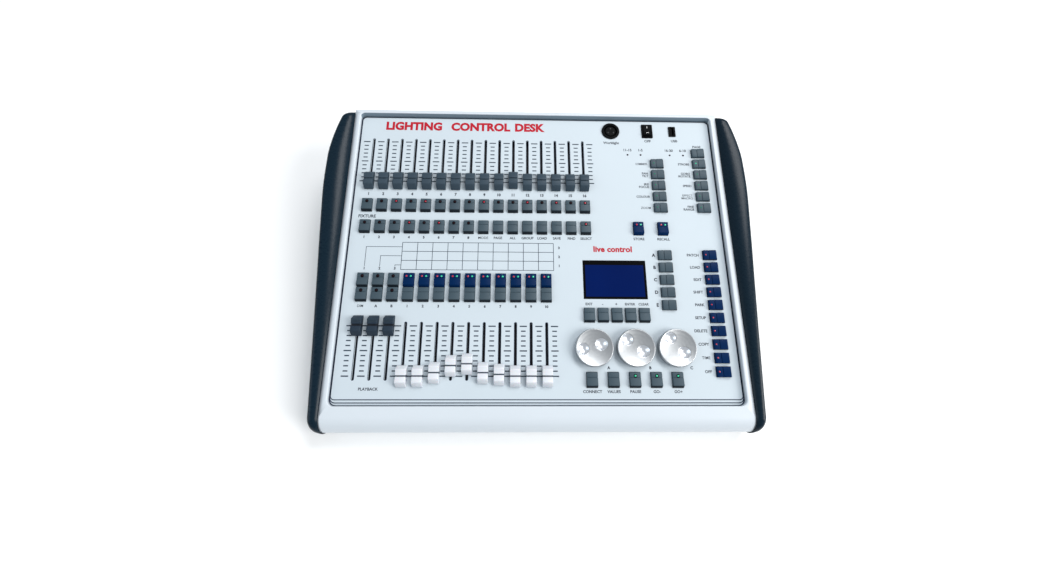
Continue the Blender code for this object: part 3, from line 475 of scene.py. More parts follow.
cheekFacts = {
    "start": 250.3 * mm, "proud": 1.5 * mm, "edge": 5 * mm, "backV": 381 * mm, "backRadius": 12 * mm, "floor": 6 * mm,
    "wall": 2.4 * mm,
    "width": [
        (-28.8, 5.0), (-26.5, 8.6), (-22.5, 11.0), (-14.5, 12.7), (0.0, 13.6), (60.0, 17.4),
        (140.0, 22.7), (220.0, 28.2), (285.0, 31.6), (320.0, 31.0), (345.0, 27.6),
        (365.0, 22.9), (379.0, 18.4), (386.0, 13.0), (389.5, 8.8), (390.8, 5.5),
    ],
}


def smoothCurve(points, at):
    # a smooth curve through given points: cubic pieces whose slopes are harmonic means of their chords
    place, height = np.array(points, float).T
    chord = np.diff(height) / np.diff(place)
    slope = np.concatenate([chord[:1], np.zeros(len(chord) - 1), chord[-1:]])
    product = chord[1:] * chord[:-1]
    rising = product > 0
    slope[1:-1][rising] = 2 * product[rising] / (chord[1:] + chord[:-1])[rising]
    k = np.clip(np.searchsorted(place, at) - 1, 0, len(chord) - 1)
    step = place[k + 1] - place[k]
    t = np.clip((at - place[k]) / step, 0, 1)
    return (height[k] * (2 * t**3 - 3 * t**2 + 1) + slope[k] * step * (t**3 - 2 * t**2 + t)
            + height[k + 1] * (3 * t**2 - 2 * t**3) + slope[k + 1] * step * (t**3 - t**2))


def cheekChains():
    # world (y, z) from front to back over the top and along the bottom, points above one another
    f, nose = cheekFacts, coverFacts
    reach = nose["nose"] + f["proud"]
    (_, frontY, frontZ), (_, backY, backZ) = toWorld(
        [(0, nose["noseV"], -nose["nose"]), (0, f["backV"], f["proud"] - f["backRadius"])])
    lean = math.pi / 2 + math.asin(sinSlope)
    turn = np.linspace(math.pi, lean, 19)
    frontArc = np.stack([frontY + reach * np.cos(turn), frontZ + reach * np.sin(turn)], -1)
    ahead = np.sqrt(np.clip(1 - ((frontArc[:, 0] - frontY) / reach) ** 2, 0, 1))
    frontLow = np.stack([frontArc[:, 0], frontZ - (frontZ - f["floor"]) * ahead], -1)
    turn = np.linspace(lean, 0, 15)
    backArc = np.stack([backY + f["backRadius"] * np.cos(turn), backZ + f["backRadius"] * np.sin(turn)], -1)
    share = np.linspace(0, 1, 42)[1:-1, None]
    middle = frontArc[-1] * (1 - share) + backArc[0] * share
    top = np.vstack([frontArc, middle, backArc])
    bottom = np.vstack([frontLow, np.column_stack([top[19:, 0], np.full(len(top) - 19, f["floor"])])])
    return top, bottom


def makeCheek(name, side, node):
    # the side outline moves in along its own normal over a quarter circle at the outer edge, and
    # the outer face is an upright surface whose distance from the body follows the width curve
    f = cheekFacts
    top, bottom = cheekChains()
    outline = np.vstack([top, bottom[:0:-1]])
    before, after = outline - np.roll(outline, 1, axis=0), np.roll(outline, -1, axis=0) - outline
    inward = sum(np.stack([e[:, 1], -e[:, 0]], -1) / np.linalg.norm(e, axis=1)[:, None] for e in (before, after))
    inward /= np.linalg.norm(inward, axis=1)[:, None]
    rings = [np.column_stack([np.full(len(outline), side * f["start"]), outline])]
    for turn in np.radians(np.linspace(0, 90, 9)):
        place = outline + inward * f["edge"] * (1 - math.cos(turn))
        width = smoothCurve(f["width"], (place[:, 0] - deckY) / mm) * mm
        edge = np.minimum(f["edge"], width)
        out = f["start"] + width - edge * (1 - math.sin(turn))
        rings.append(np.column_stack([side * out, place]))
    rings = np.array(rings)
    count, stations = len(outline), len(top)
    faces = gridFaces(len(rings), count, wrap=True)
    last = (len(rings) - 1) * count
    lower = [0] + [count - k for k in range(1, stations)]
    for k in range(stations - 1):
        ring = (last + k, last + k + 1, last + lower[k + 1], last + lower[k])
        faces.append(tuple(dict.fromkeys(ring)))
    cheek = addPiece(name, [(rings, faces, "cheek")], [node], sharp=50)
    wall = cheek.modifiers.new("wall", "SOLIDIFY")
    wall.thickness, wall.offset = f["wall"], -1.0


makeCheek("cheekShellLeft", -1, "cheek_left")
makeCheek("cheekShellRight", 1, "cheek_right")
print("cheeks made")


# Fader caps

capFacts = {"half": 6.1 * mm, "edge": 0.7 * mm, "floor": 1.0 * mm, "blade": (0.6, 2.0, -7.5, 1.1)}


def arcTo(start, bend, end, steps=4):
    # a quadratic curve from start to end that leans to bend
    t = np.linspace(0, 1, steps + 1)[:, None]
    return (1 - t) ** 2 * start + 2 * t * (1 - t) * bend + t**2 * end


def capProfile(grooveHalf, grooveFloor):
    # half of the side, from the groove outwards: dished finger seat, rounded crest, sloping end, foot
    half = np.vstack([
        [(0.0, grooveFloor)], [(grooveHalf, grooveFloor)], [(grooveHalf + 0.1, 7.5)],
        arcTo((grooveHalf + 0.3, 7.75), (4.2, 7.9), (6.1, 8.6), 5),
        arcTo((6.4, 8.7), (7.3, 8.85), (7.9, 8.2), 3),
        arcTo((8.3, 7.9), (11.9, 3.0), (12.4, 2.1), 3),
        [(12.5, 1.7)], [(12.5, 1.0)],
    ])
    return np.vstack([half[:0:-1] * np.array([-1.0, 1.0]), half]) * mm


def makeCap(name, node, kind, line, slotName, ribs=False):
    x, v = middleOf(node)
    grooveHalf, grooveFloor = (1.25, 6.1) if ribs else (0.75, 6.4)
    profile = capProfile(grooveHalf, grooveFloor)
    grid, faces, columns = sweptBlock(profile, capFacts["half"], capFacts["edge"], capFacts["floor"])
    middle = len(profile) // 2
    groove = [face for face in faces[:-2] if face[0] // columns in (middle - 1, middle)]
    rest = [face for face in faces if face not in groove]
    points = onDeck(grid, x, v)
    parts = [(points, rest, kind), (points, groove, line)]
    if ribs:
        for place in (4.4, 5.9, 7.4):
            rib = [(place - 0.45, 6.5), (place - 0.25, 9.0), (place + 0.25, 9.0), (place + 0.45, 6.5)]
            bar, barFaces, _ = sweptBlock(np.array(rib) * mm, 5.2 * mm, 0.15 * mm, 6.4 * mm, 1)
            parts.append((onDeck(bar, x, v), barFaces, "capGrey"))
    halfX, halfV, foot, head = capFacts["blade"]
    side = np.array([(-halfV, foot), (-halfV, head), (halfV, head), (halfV, foot)])
    blade, bladeFaces, _ = sweptBlock(side * mm, halfX * mm, 0.1 * mm, foot * mm, 1)
    parts.append((onDeck(blade, x, v), bladeFaces, "metal"))
    addPiece(name, parts, [node], node, sharp=38)


capKinds = {
    "fixture": (16, 2, "capGrey", "capGrey", "cap_grey"),
    "master": (3, 1, "capDark", "capBlack", "cap_dark", True),
    "playback": (10, 2, "capWhite", "capLine", "cap_white"),
}
for row, (count, digits, *finish) in capKinds.items():
    for number in range(1, count + 1):
        mark = str(number).zfill(digits)
        makeCap(f"{row}Cap{mark}", f"{row}_fader_{mark}", *finish)
print("fader caps made")


# Keys: a light shelf with its LED, a groove, a rising press face and a steep end

keyFacts = {
    "floor": -4.6, "edge": 0.45, "length": 18.0, "width": 13.0, "lyingWidth": 12.3, "gap": 0.15,
    "ledSpread": 2.6, "ledAlong": 4.6, "ledHeight": 3.4, "lyingLed": 0.8,
    "webTop": -4.5, "webFoot": -5.8, "webRound": 1.5,
    "dome": [(0.0, 0.5), (0.7, 0.42), (1.1, 0.22), (1.3, -0.1), (0.0, -0.1)],
    "window": [(0.0, 0.1), (2.1, 0.1), (2.3, -0.1), (0.0, -0.1)],
}
faderPitch = 19.05
fixtureX, playbackX = -223.0, -218.55


def rowOf(x, v, count, pitch):
    return [(x + i * pitch, v) for i in range(count)]


def columnOf(x, v, count, pitch=16.35):
    return [(x, v - i * pitch) for i in range(count)]


def marks(count, red=(), none=()):
    # what each key's window shows: r red, g green, m unlit green, d dark, an empty text for no window
    return ["" if i in none else "r" if i in red else "d" for i in range(1, count + 1)]


# area, places, what the windows show, then anything out of the ordinary
keyGroups = [
    ("fixture", rowOf(fixtureX, 252.3, 16, faderPitch), marks(16, red=(3, 5, 9, 12, 14, 16)), {}),
    ("fixture", rowOf(fixtureX, 222.3, 16, faderPitch), marks(16, red=(4, 6, 16), none=range(9, 16)), {}),
    ("playback", rowOf(playbackX, 150.7, 3, faderPitch), marks(3), {}),
    ("playback", rowOf(playbackX + 3 * faderPitch, 150.7, 10, faderPitch), ["rg"] * 10, {"kind": "keyNavy"}),
    ("playback", rowOf(playbackX, 132.3, 13, faderPitch), ["d"] * 3 + [""] * 10, {}),
    ("display", rowOf(63.0, 107.5, 5, 17.06), [""] * 5, {}),
    ("display", columnOf(163.5, 185.8, 5), [""] * 5, {"lying": True}),
    ("function", columnOf(221.8, 186.3, 10), ["r"] * 10, {"lying": True, "kind": "keyNavy", "ledAlong": 6.2}),
    ("bank", rowOf(131.8, 222.4, 2, 32.2), ["rg"] * 2, {"kind": "keyNavy"}),
    ("bank", columnOf(164.0, 317.6, 5), ["m"] * 5, {"lying": True, "ledAlong": 5.2}),
    ("bank", columnOf(222.1, 334.2, 6), ["", "g"] + ["m"] * 4, {"lying": True, "ledAlong": 5.2}),
    ("transport", rowOf(63.1, 29.7, 5, 25.52), ["", "", "g", "g", "g"], {}),
]
webFacts = {
    "fixture": [(-232.0, 211.5, 72.0, 263.5)],
    "playback": [(-227.5, 121.5, 19.0, 161.5)],
    "display": [(54.0, 97.0, 174.5, 118.0), (152.5, 118.0, 174.5, 194.0)],
    "function": [(211.0, 30.0, 233.0, 194.0)],
    "bank": [(122.5, 211.5, 175.0, 233.5), (153.0, 233.5, 175.0, 326.0), (175.0, 243.5, 233.0, 261.0),
             (211.0, 261.0, 233.0, 342.5)],
    "transport": [(54.0, 19.5, 174.5, 40.0)],
}
lightLooks = {"r": "ledRed", "g": "ledGreen", "m": "ledMoss", "d": "ledDark"}


def keyProfile(lying):
    # from the steep end to the far end, heights over the panel
    h, floor = keyFacts["length"] / 2 - keyFacts["gap"], keyFacts["floor"]
    groove = h - (6.9 if lying else 6.3)
    points = [
        (-h, floor), (-h, 1.5), (-h + 0.35, 2.1), (-h + 1.9, 4.1), (-h + 2.4, 4.5), (-h + 3.0, 4.45),
        (groove - 0.5, 3.5), (groove - 0.15, 2.9), (groove + 0.25, 2.9), (groove + 0.6, 3.4),
        (h - 0.9, 3.4), (h - 0.35, 3.2), (h, 2.6), (h, floor),
    ]
    return np.array(points) * mm


def makeKeypad(pad):
    parts, lights = [], []
    for area, places, shown, special in keyGroups:
        if area != pad:
            continue
        lying = special.get("lying", False)
        width = keyFacts["lyingWidth" if lying else "width"]
        grid, faces, columns = sweptBlock(keyProfile(lying), width / 2 * mm,
                                          keyFacts["edge"] * mm, keyFacts["floor"] * mm, 2)
        kind = special.get("kind", "keyGrey")
        steep, rest = parted(faces, [len(face) == 4 and face[0] < 3 * columns for face in faces])
        turn = math.pi / 2 if lying else 0.0
        dome, domeFaces = turned(keyFacts["dome"], 12)
        window, windowFaces = turned(keyFacts["window"], 16)
        for (x, v), light in zip(places, shown):
            placed = onDeck(grid, x * mm, v * mm, turn=turn)
            # the steep ends of grey keys take that near-black as painted shade
            parts += [(placed, rest, kind), (placed, steep, "keyShade" if kind == "keyGrey" else kind)]
            for i, letter in enumerate(light):
                side = (i - (len(light) - 1) / 2) * 2 * keyFacts["ledSpread"]
                place = np.array([side, special.get("ledAlong", keyFacts["ledAlong"]), keyFacts["ledHeight"]]) * mm
                size = keyFacts["lyingLed"] if lying else 1.0
                lights.append((onDeck(dome * size + place, x * mm, v * mm, turn=turn), domeFaces, lightLooks[letter]))
                if len(light) == 1 and not lying:
                    lights.append((onDeck(window + place, x * mm, v * mm, turn=turn), windowFaces, "black"))
    for edges in webFacts[pad]:
        web, webFaces = prism([(*edges, keyFacts["webRound"], keyFacts[level]) for level in ("webTop", "webFoot")], 3)
        parts.append((onDeck(web * mm), webFaces, "web"))
    node = f"{pad}_keypad"
    addPiece(f"{pad}Keys", parts, [node], node, sharp=28)
    if lights:
        addPiece(f"{pad}Lights", lights, (), node, sharp=50)


for pad in webFacts:
    makeKeypad(pad)
print("keys made")


# Jog wheels

wheelFacts = {
    "dish": 2.5 * mm, "lip": 0.9 * mm, "dimple": 7.1 * mm, "dimpleDepth": 3.3 * mm, "soft": 0.35 * mm,
    "places": [(14.2 * mm, 0.0), (9.6 * mm, math.radians(-162.0))],
    "turns": (187.0, 137.0, 125.0), "base": 1.0 * mm, "shaft": 3.0 * mm,
}


def wheelHeight(x, y, radius, top):
    # a shallow dish, less a spherical hollow at each dimple, with a softened brim
    f = wheelFacts
    away = np.hypot(x, y)
    dish = f["dish"] * np.clip(1 - (away / (radius - f["lip"])) ** 2, 0, 1)
    brim = f["lip"] * np.clip((away - radius + f["lip"]) / f["lip"], 0, 1) ** 2
    height = top - dish - brim
    ball = (f["dimple"] ** 2 + f["dimpleDepth"] ** 2) / (2 * f["dimpleDepth"])
    for reach, angle in f["places"]:
        distance = np.hypot(x - reach * math.cos(angle), y - reach * math.sin(angle))
        hollow = np.sqrt(np.clip(ball**2 - distance**2, 0, None)) - (ball - f["dimpleDepth"])
        hollow = (hollow + np.sqrt(hollow**2 + f["soft"] ** 2)) / 2
        hollow = np.where(distance < f["dimple"] + 2.0 * mm, hollow, 0)
        height = height - hollow
    return height


def makeWheel(number):
    f = wheelFacts
    node = f"jog_wheel_{number}"
    low, high = deckBox(node)
    radius = (high[0] - low[0]) / 2
    top = high[2] - panelTop
    count, rows = 180, 70
    angle = np.linspace(0, 2 * math.pi, count, endpoint=False)
    spread = np.linspace(0, 1, rows)[:, None] * radius
    px, py = spread * np.cos(angle), spread * np.sin(angle)
    upper = np.stack([px, py, wheelHeight(px, py, radius, top)], -1)
    wallTop = upper[-1, 0, 2]
    base, shaft, foot = f["base"], f["shaft"], low[2] - panelTop
    wall = [(radius, wallTop - 0.8 * mm), (radius, base + 1.2 * mm), (radius - 0.25 * mm, base + 0.6 * mm),
            (radius - 0.8 * mm, base), (shaft, base), (shaft, foot), (0.0, foot)]
    lower, _ = turned(wall, count, 1.0)
    grid = np.concatenate([upper, lower])
    faces = gridFaces(len(grid), count, wrap=True)
    flat = grid.reshape(-1, 3)[np.array(faces)].mean(axis=1)
    inside = np.zeros(len(faces), bool)
    for reach, a in f["places"]:
        inside |= np.hypot(flat[:, 0] - reach * math.cos(a), flat[:, 1] - reach * math.sin(a)) < f["dimple"]
    inside[(rows - 1) * count:] = False
    polished, plain = parted(faces, inside)
    points = onDeck(grid, *middleOf(node), turn=math.radians(f["turns"][number - 1]))
    uv = grid[..., :2].reshape(-1, 2)
    both = [(points, plain, "wheel"), (points, polished, "dimple")]
    addPiece(f"wheel{number}", both, [node], node, sharp=55, uv=np.vstack([uv, uv]))


for number in (1, 2, 3):
    makeWheel(number)
print("wheels made")


# Display: a dark glass with a blue lit field under it

displayFacts = {"field": (74.5 * mm, 41.5 * mm), "drop": -1.6 * mm, "round": 1.2 * mm, "edge": 0.4 * mm,
                "cells": 7000.0}


def displayMaterial():
    # blue field inside a black border, with faint cell lines and a drift in brightness across it
    x, v = middleOf("display_window") + np.array([0.0, displayFacts["drop"]])
    graph = Graph("displayGlass", roughness=0.1, shine=0.08)
    px, py, pz = graph.axes()
    along = (py - deckY) * cosSlope + (pz - deckZ) * sinSlope
    wide, high = displayFacts["field"]
    inside = (graph.alone("ABSOLUTE", px - x) < wide / 2) * (graph.alone("ABSOLUTE", along - v) < high / 2)
    cells = graph.alone("SINE", px * displayFacts["cells"]) * 0.5 + 0.5
    drift = graph.noise(12.0) * 0.5 + (cells * 0.15 + 0.2)
    blue = graph.mix(drift, (0.000, 0.002, 0.024), (0.0003, 0.010, 0.092))
    colour = graph.mix(inside, (0.0015, 0.0015, 0.002), blue)
    graph.set(baseColor=colour, emissionColor=colour, emissionStrength=0.3)
    return graph


def makeDisplay():
    low, high = deckBox("display_window")
    look["display"] = displayMaterial()
    edge, top = displayFacts["edge"], high[2]
    rings, faces = prism([
        (*(low[:2] + inset), *(high[:2] - inset), displayFacts["round"], n)
        for inset, n in ((0.0, low[2]), (0.0, top - edge), (edge * 0.3, top - edge * 0.3), (edge, top))
    ])
    pane = [(toWorld(rings), faces, "display")]
    addPiece("displayGlassPane", pane, ["display_window"], sharp=15)


makeDisplay()
print("display made")


# Prints on the panel

printLift = 0.07 * mm
printFacts = {
    "tickLong": 8.8, "tickShort": 5.6, "tickThick": 1.5, "tickStep": 5.95, "border": 1.15, "slotEdge": 0.6,
    "tableLine": 0.7, "lead": 0.6, "leadEnd": 169.2,
}
# each fader row: first slot's x, lowest tick's v, number of faders
faderRows = ((fixtureX, 287.4, 16), (playbackX, 33.7, 13))


def bar(x, v, width, length):
    # a flat print as four corners, given by its middle and sizes in millimetres
    corners = np.array([(-1, -1), (1, -1), (1, 1), (-1, 1)]) * np.array([width, length]) / 2 + np.array([x, v])
    return toWorld(np.column_stack([corners * mm, np.full(4, panelTop + printLift)])), [(0, 1, 2, 3)]


def flatStrip(path, thick):
    # a closed line of even thickness along flat points in millimetres, its edges moved out along the normal
    tangent = np.roll(path, -1, axis=0) - np.roll(path, 1, axis=0)
    tangent /= np.linalg.norm(tangent, axis=1)[:, None]
    normal = np.stack([-tangent[:, 1], tangent[:, 0]], -1) * thick / 2
    level = np.full(len(path), (panelTop + printLift) / mm)
    grid = np.stack([np.column_stack([side, level]) for side in (path - normal, path + normal)], axis=1)
    grid = np.concatenate([grid, grid[:1]])
    return toWorld(grid * mm), gridFaces(len(grid), 2)


def letters(text, size, x, v, align="CENTER", spacing=1.0, weight=0.024):
    # a word as flat filled letters, centred in height on v
    curve = bpy.data.curves.new("word", "FONT")
    curve.body, curve.size, curve.align_x, curve.align_y = text, size, align, "CENTER"
    curve.space_character, curve.space_line = spacing, 0.9
    curve.resolution_u, curve.offset = 3, weight * size
    word = link(bpy.data.objects.new("word", curve))
    bpy.context.view_layer.update()
    mesh = bpy.data.meshes.new_from_object(word)
    points = pointsOf(mesh)
    faces = [tuple(face.vertices) for face in mesh.polygons]
    bpy.data.objects.remove(word, do_unlink=True)
    bpy.data.meshes.remove(mesh)
    return (points + np.array([x, v, 0.0])) * mm + np.array([0.0, 0.0, panelTop + printLift]), faces


def printWords(name, words, kind):
    printPiece(name, [(toWorld(points), faces) for points, faces in words], kind)


def printPiece(name, parts, kind):
    addPiece(name, [(points, faces, kind) for points, faces in parts], closed=False)


def makeTicks():
    parts = []
    for first, zero, count in faderRows:
        for i in range(count + 1):
            x = first + (i - 0.5) * faderPitch
            for step in range(11):
                width = printFacts["tickLong"] if step % 5 == 0 else printFacts["tickShort"]
                parts.append(bar(x, zero + step * printFacts["tickStep"], width, printFacts["tickThick"]))
    printPiece("faderTicks", parts, "inkSoft")


# words, their places, letter size and the side they line up on
labelRows = [
    ([*map(str, range(1, 17))], rowOf(fixtureX, 268.7, 16, faderPitch), 5.2),
    ([*map(str, range(1, 9)), *"MODE PAGE ALL GROUP LOAD SAVE FIND SELECT".split()],
     rowOf(fixtureX, 207.8, 16, faderPitch), 4.6),
    ("EXIT - + ENTER CLEAR".split(), rowOf(63.0, 121.3, 5, 17.06), 4.3),
    ("ABCDE", columnOf(149.0, 185.8, 5), 5.8),
    ("PATCH LOAD EDIT SHIFT PARK SETUP DELETE COPY TIME OFF".split(), columnOf(208.0, 186.3, 10), 4.9, "RIGHT"),
    (["DIMMER", "PAN\nTILT", "IRIS\nFOCUS", "COLOUR", "ZOOM"], columnOf(151.0, 317.6, 5), 4.4, "RIGHT"),
    (["", "STROBE", "GOBO\nROTATE", "SPEED", "EFFECT\nMACRO", "FINE\nRANGE"], columnOf(209.0, 334.2, 6), 4.4, "RIGHT"),
    (["PAGE"], [(222.1, 345.2)], 4.8),
    (["STORE", "RECALL"], rowOf(131.8, 208.0, 2, 32.2), 4.8),
    ("CONNECT VALUES PAUSE GO- GO+".split(), rowOf(63.1, 16.0, 5, 25.52), 4.6),
    ("ABC", rowOf(83.6, 43.6, 3, 50.05), 4.6),
    (["Worklight", "OFF", "USB"], [(102.9, 350.0), (154.2, 353.4), (191.5, 354.2)], 5.2),
    ("11-15 1-5 16-20 6-10".split(), [(124.8, 339.0), (142.9, 339.0), (182.3, 339.0), (201.9, 339.0)], 5.2),
    (["FIXTURE"], [(-221.9, 236.6)], 5.9),
    (["PLAYBACK"], [(-199.5, 18.8)], 4.7),
    (["DIM", "A", "B", *map(str, range(1, 11))], rowOf(playbackX, 117.6, 13, faderPitch), 4.4),
    ("123", rowOf(playbackX, 165.9, 3, faderPitch), 4.6),
    ("321", [(27.0, 194.8), (27.0, 182.7), (27.0, 170.6)], 4.4),
]


def makeLabels():
    parts = []
    for words, places, size, *side in labelRows:
        for word, (x, v) in zip(words, places):
            if word:
                # short words are drawn bolder, and M keeps its counters open
                weight = 0.045 if len(word) < 3 else 0.006 if "M" in word else 0.024
                parts.append(letters(word, size, x, v, *side, weight=weight))
    printWords("panelLabels", parts, "ink")
    title = [letters(word, 16.5, x, 371.6, "LEFT", spacing=1.03, weight=0.052)
             for word, x in (("LIGHTING", -209.0), ("CONTROL", -119.0), ("DESK", -31.0))]
    title.append(letters("live control", 10.4, 96.5, 193.4, spacing=1.04, weight=0.042))
    printWords("panelTitles", title, "inkRed")


def makePanelLines():
    # the stepped border at the opening's front, its outer line painted shadow along the gap at the opening's edge; the
    # table over the playback keys and its leads
    half = coverFacts["openingHalf"] / mm
    back = coverFacts["openingLength"] / mm
    parts = []
    # the first loop lies along the opening's edge: painted shadow of the gap there
    for front, inset, radius in ((0.35, 0.35, 8.0), (3.5, 0.75, 6.0), (7.0, 1.15, 4.5)):
        border = roundedOutline(-half + inset, front, half - inset, back - 0.4, 5.6, 8, radius)
        parts.append(flatStrip(border, printFacts["border"]))
    printPiece("panelBorder", parts, "inkLine")
    slots = []
    for first, zero, count in faderRows:
        for x, v in rowOf(first, zero, count, faderPitch):
            edge = roundedOutline(x - 1.55, v - 4.85, x + 1.55, v + 64.35, 1.5, 4)
            slots.append(flatStrip(edge, printFacts["slotEdge"]))
    printPiece("slotLines", slots, "inkLine")
    left, right, low, high = -173.0, 19.9, 164.5, 200.9
    line, lead, end = (printFacts[key] for key in ("tableLine", "lead", "leadEnd"))
    lines = [bar((left + right) / 2, low + i * (high - low) / 3, right - left, line) for i in range(4)]
    lines += [bar(left + i * (right - left) / 10, (low + high) / 2, line, high - low) for i in range(11)]
    for i in range(3):
        x = playbackX + i * faderPitch
        level = low + (2.5 - i) * (high - low) / 3
        lines += [bar(x, (end + level) / 2, lead, level - end + lead), bar((x + left) / 2, level, left - x, lead)]
    printPiece("panelTable", lines, "inkSoft")


makeTicks()
makeLabels()
makePanelLines()
print("prints made")


# Small lights of the banks, worklight socket and rocker

def makeBankLights():
    dome, faces = turned([(0.0, 0.9), (0.6, 0.8), (1.1, 0.45), (1.3, 0.0), (1.3, -0.4), (0.0, -0.4)], 14)
    parts = [(onDeck(dome, x * mm, 331.8 * mm), faces, "ledDark") for x in (124.8, 142.9, 183.3, 201.9)]
    addPiece("bankLights", parts)


socketFacts = {"barrel": 10.6, "depth": 15.0, "pinCircle": 4.1, "pinAngles": (90, 210, 330)}


def makeWorklight():
    # a round socket: flange with a rounded brim, a deep ring and an insert with contact holes
    low, high = deckBox("worklight_socket")
    flange = (high[0] - low[0]) / 2 / mm
    barrel, depth = socketFacts["barrel"], socketFacts["depth"]
    profile = [
        (0.0, 0.7), (6.9, 0.7), (7.3, 0.3), (7.3, -5.5), (9.0, -5.5), (9.0, 1.2), (9.4, 1.7), (flange - 0.7, 1.7),
        (flange - 0.2, 1.5), (flange, 1.0), (flange, 0.05), (barrel, 0.05), (barrel, -depth), (0.0, -depth),
    ]
    grid, faces = turned(profile, 56)
    place = middleOf("worklight_socket")
    parts = [(onDeck(grid, *place), faces, "black")]
    pin, pinFaces = turned([(0.0, 1.0), (0.9, 0.98), (1.25, 0.75), (1.25, 0.3), (0.0, 0.3)], 14)
    for angle in np.radians(socketFacts["pinAngles"]):
        offset = socketFacts["pinCircle"] * mm * np.array([math.cos(angle), math.sin(angle), 0.0])
        parts.append((onDeck(pin + offset, *place), pinFaces, "darkMetal"))
    addPiece("worklightSocket", parts, ["worklight_socket"], sharp=40)


def makeRockerFrame():
    low, high = deckBox("rocker_housing")
    wide, deep = (high[:2] - low[:2]) / 2 / mm
    x, v = (low[:2] + high[:2]) / 2

    def framed(rows):
        # rows of (half width, half depth, height, corner radius) about the rocker's middle
        return prism([(x - a * mm, v - b * mm, x + a * mm, v + b * mm, r * mm, panelTop + z * mm)
                      for a, b, z, r in rows])

    rim, rimFaces = framed([(wide, deep, 0.05, 1.2), (wide, deep, 0.9, 1.2), (wide - 0.5, deep - 0.5, 1.4, 1.0),
                            (5.9, 8.9, 1.4, 0.4), (5.9, 8.9, -7.0, 0.4)])
    body, bodyFaces = framed([(7.0, 10.0, -15.0, 0.5), (7.0, 10.0, 0.05, 0.5)])
    # the rim's foot and the body's top stay open where they meet
    parts = [(toWorld(rim), rimFaces[:-2] + rimFaces[-1:], "black"), (toWorld(body), bodyFaces[:-1], "black")]
    addPiece("rockerFrame", parts, ["rocker_housing"])


rockerFacts = {
    "half": 5.5 * mm, "tilt": -7.0, "axis": -1.0 * mm, "side": [(8.45, 3.9), (8.4, 1.0), (7.2, -3.2), (4.0, -5.0)],
}


def makeRocker():
    # two dished faces that meet in a low ridge, tipped about the middle
    x, v = middleOf("rocker_housing")
    half = np.vstack([arcTo((0.0, 3.0), (3.6, 2.7), (8.3, 4.2), 7), rockerFacts["side"]])
    profile = np.vstack([half[::-1] * np.array([-1.0, 1.0]), half[1:]]) * mm
    grid, faces, _ = sweptBlock(profile, rockerFacts["half"], 0.4 * mm, -5.0 * mm)
    turn = math.radians(rockerFacts["tilt"])
    c, s = math.cos(turn), math.sin(turn)

    def tipped(points):
        points = np.asarray(points, float)
        along = points[..., 1] * c - points[..., 2] * s
        up = points[..., 1] * s + points[..., 2] * c + rockerFacts["axis"]
        return onDeck(np.stack([points[..., 0], along, up], -1), x, v)

    parts = [(tipped(grid), faces, "black")]
    ring, ringFaces = turned([(1.3, 0.0), (1.3, 0.12), (1.8, 0.12), (1.8, 0.0)], 24)
    parts.append((tipped(ring + np.array([0.0, -5.2, 3.25]) * mm), ringFaces, "inkWhite"))
    mark = np.array([(-0.3, 3.6, 3.3), (0.3, 3.6, 3.3), (0.3, 6.6, 3.95), (-0.3, 6.6, 3.95)]) * mm
    parts.append((tipped(mark), [(0, 1, 2, 3)], "inkWhite"))
    addPiece("rockerCap", parts, ["rocker_switch"], "rocker_switch", sharp=35)


makeBankLights()
makeWorklight()
makeRockerFrame()
makeRocker()
print("sockets made")


# Feet, screws and rear prints

def makeFeet():
    profile = [(0.0, 7.7), (9.0, 7.7), (9.0, 2.4), (8.7, 1.2), (7.9, 0.35), (6.9, 0.0), (3.4, 0.0), (3.2, 0.3),
               (3.2, 3.0), (0.0, 3.0)]
    grid, faces = turned(profile, 48)
    head, headFaces = turned([(0.0, 3.1), (2.0, 3.1), (2.7, 2.7), (2.7, 3.6), (0.0, 3.6)], 20)
    for node in [name for name in nodes if name.startswith("foot")]:
        low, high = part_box(node)
        place = np.array([(low.x + high.x) / 2, (low.y + high.y) / 2, 0.0])
        parts = [(grid + place, faces, "rubber"), (head + place, headFaces, "metal")]
        addPiece("rubber" + node.title().replace("_", ""), parts, [node])


makeFeet()


backFacts = {
    "screws": [(x, z) for x in (-236.0, -60.0, 70.0, 236.0) for z in (15.0, 72.0)],
    "vents": [(x, 26.0 + 7.0 * k) for x in (-22.0, 22.0) for k in range(6)], "ventSize": (34.0, 3.4, 2.2),
    "words": [("DMX OUT", 5.6, -135.0, 71.5), ("1", 4.6, -109.0, 30.0), ("2", 4.6, -161.0, 30.0),
              ("MAINS IN", 5.0, 150.0, 67.0), ("100-240 V  50/60 Hz", 3.8, 150.0, 29.0)],
}


def onBack(points, x, z):
    # local points with their third axis out of the rear wall, read from behind
    points = np.asarray(points, float)
    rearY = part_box("base_tray")[1].y
    return np.stack([x * mm - points[..., 0], rearY + points[..., 2], z * mm + points[..., 1]], -1)


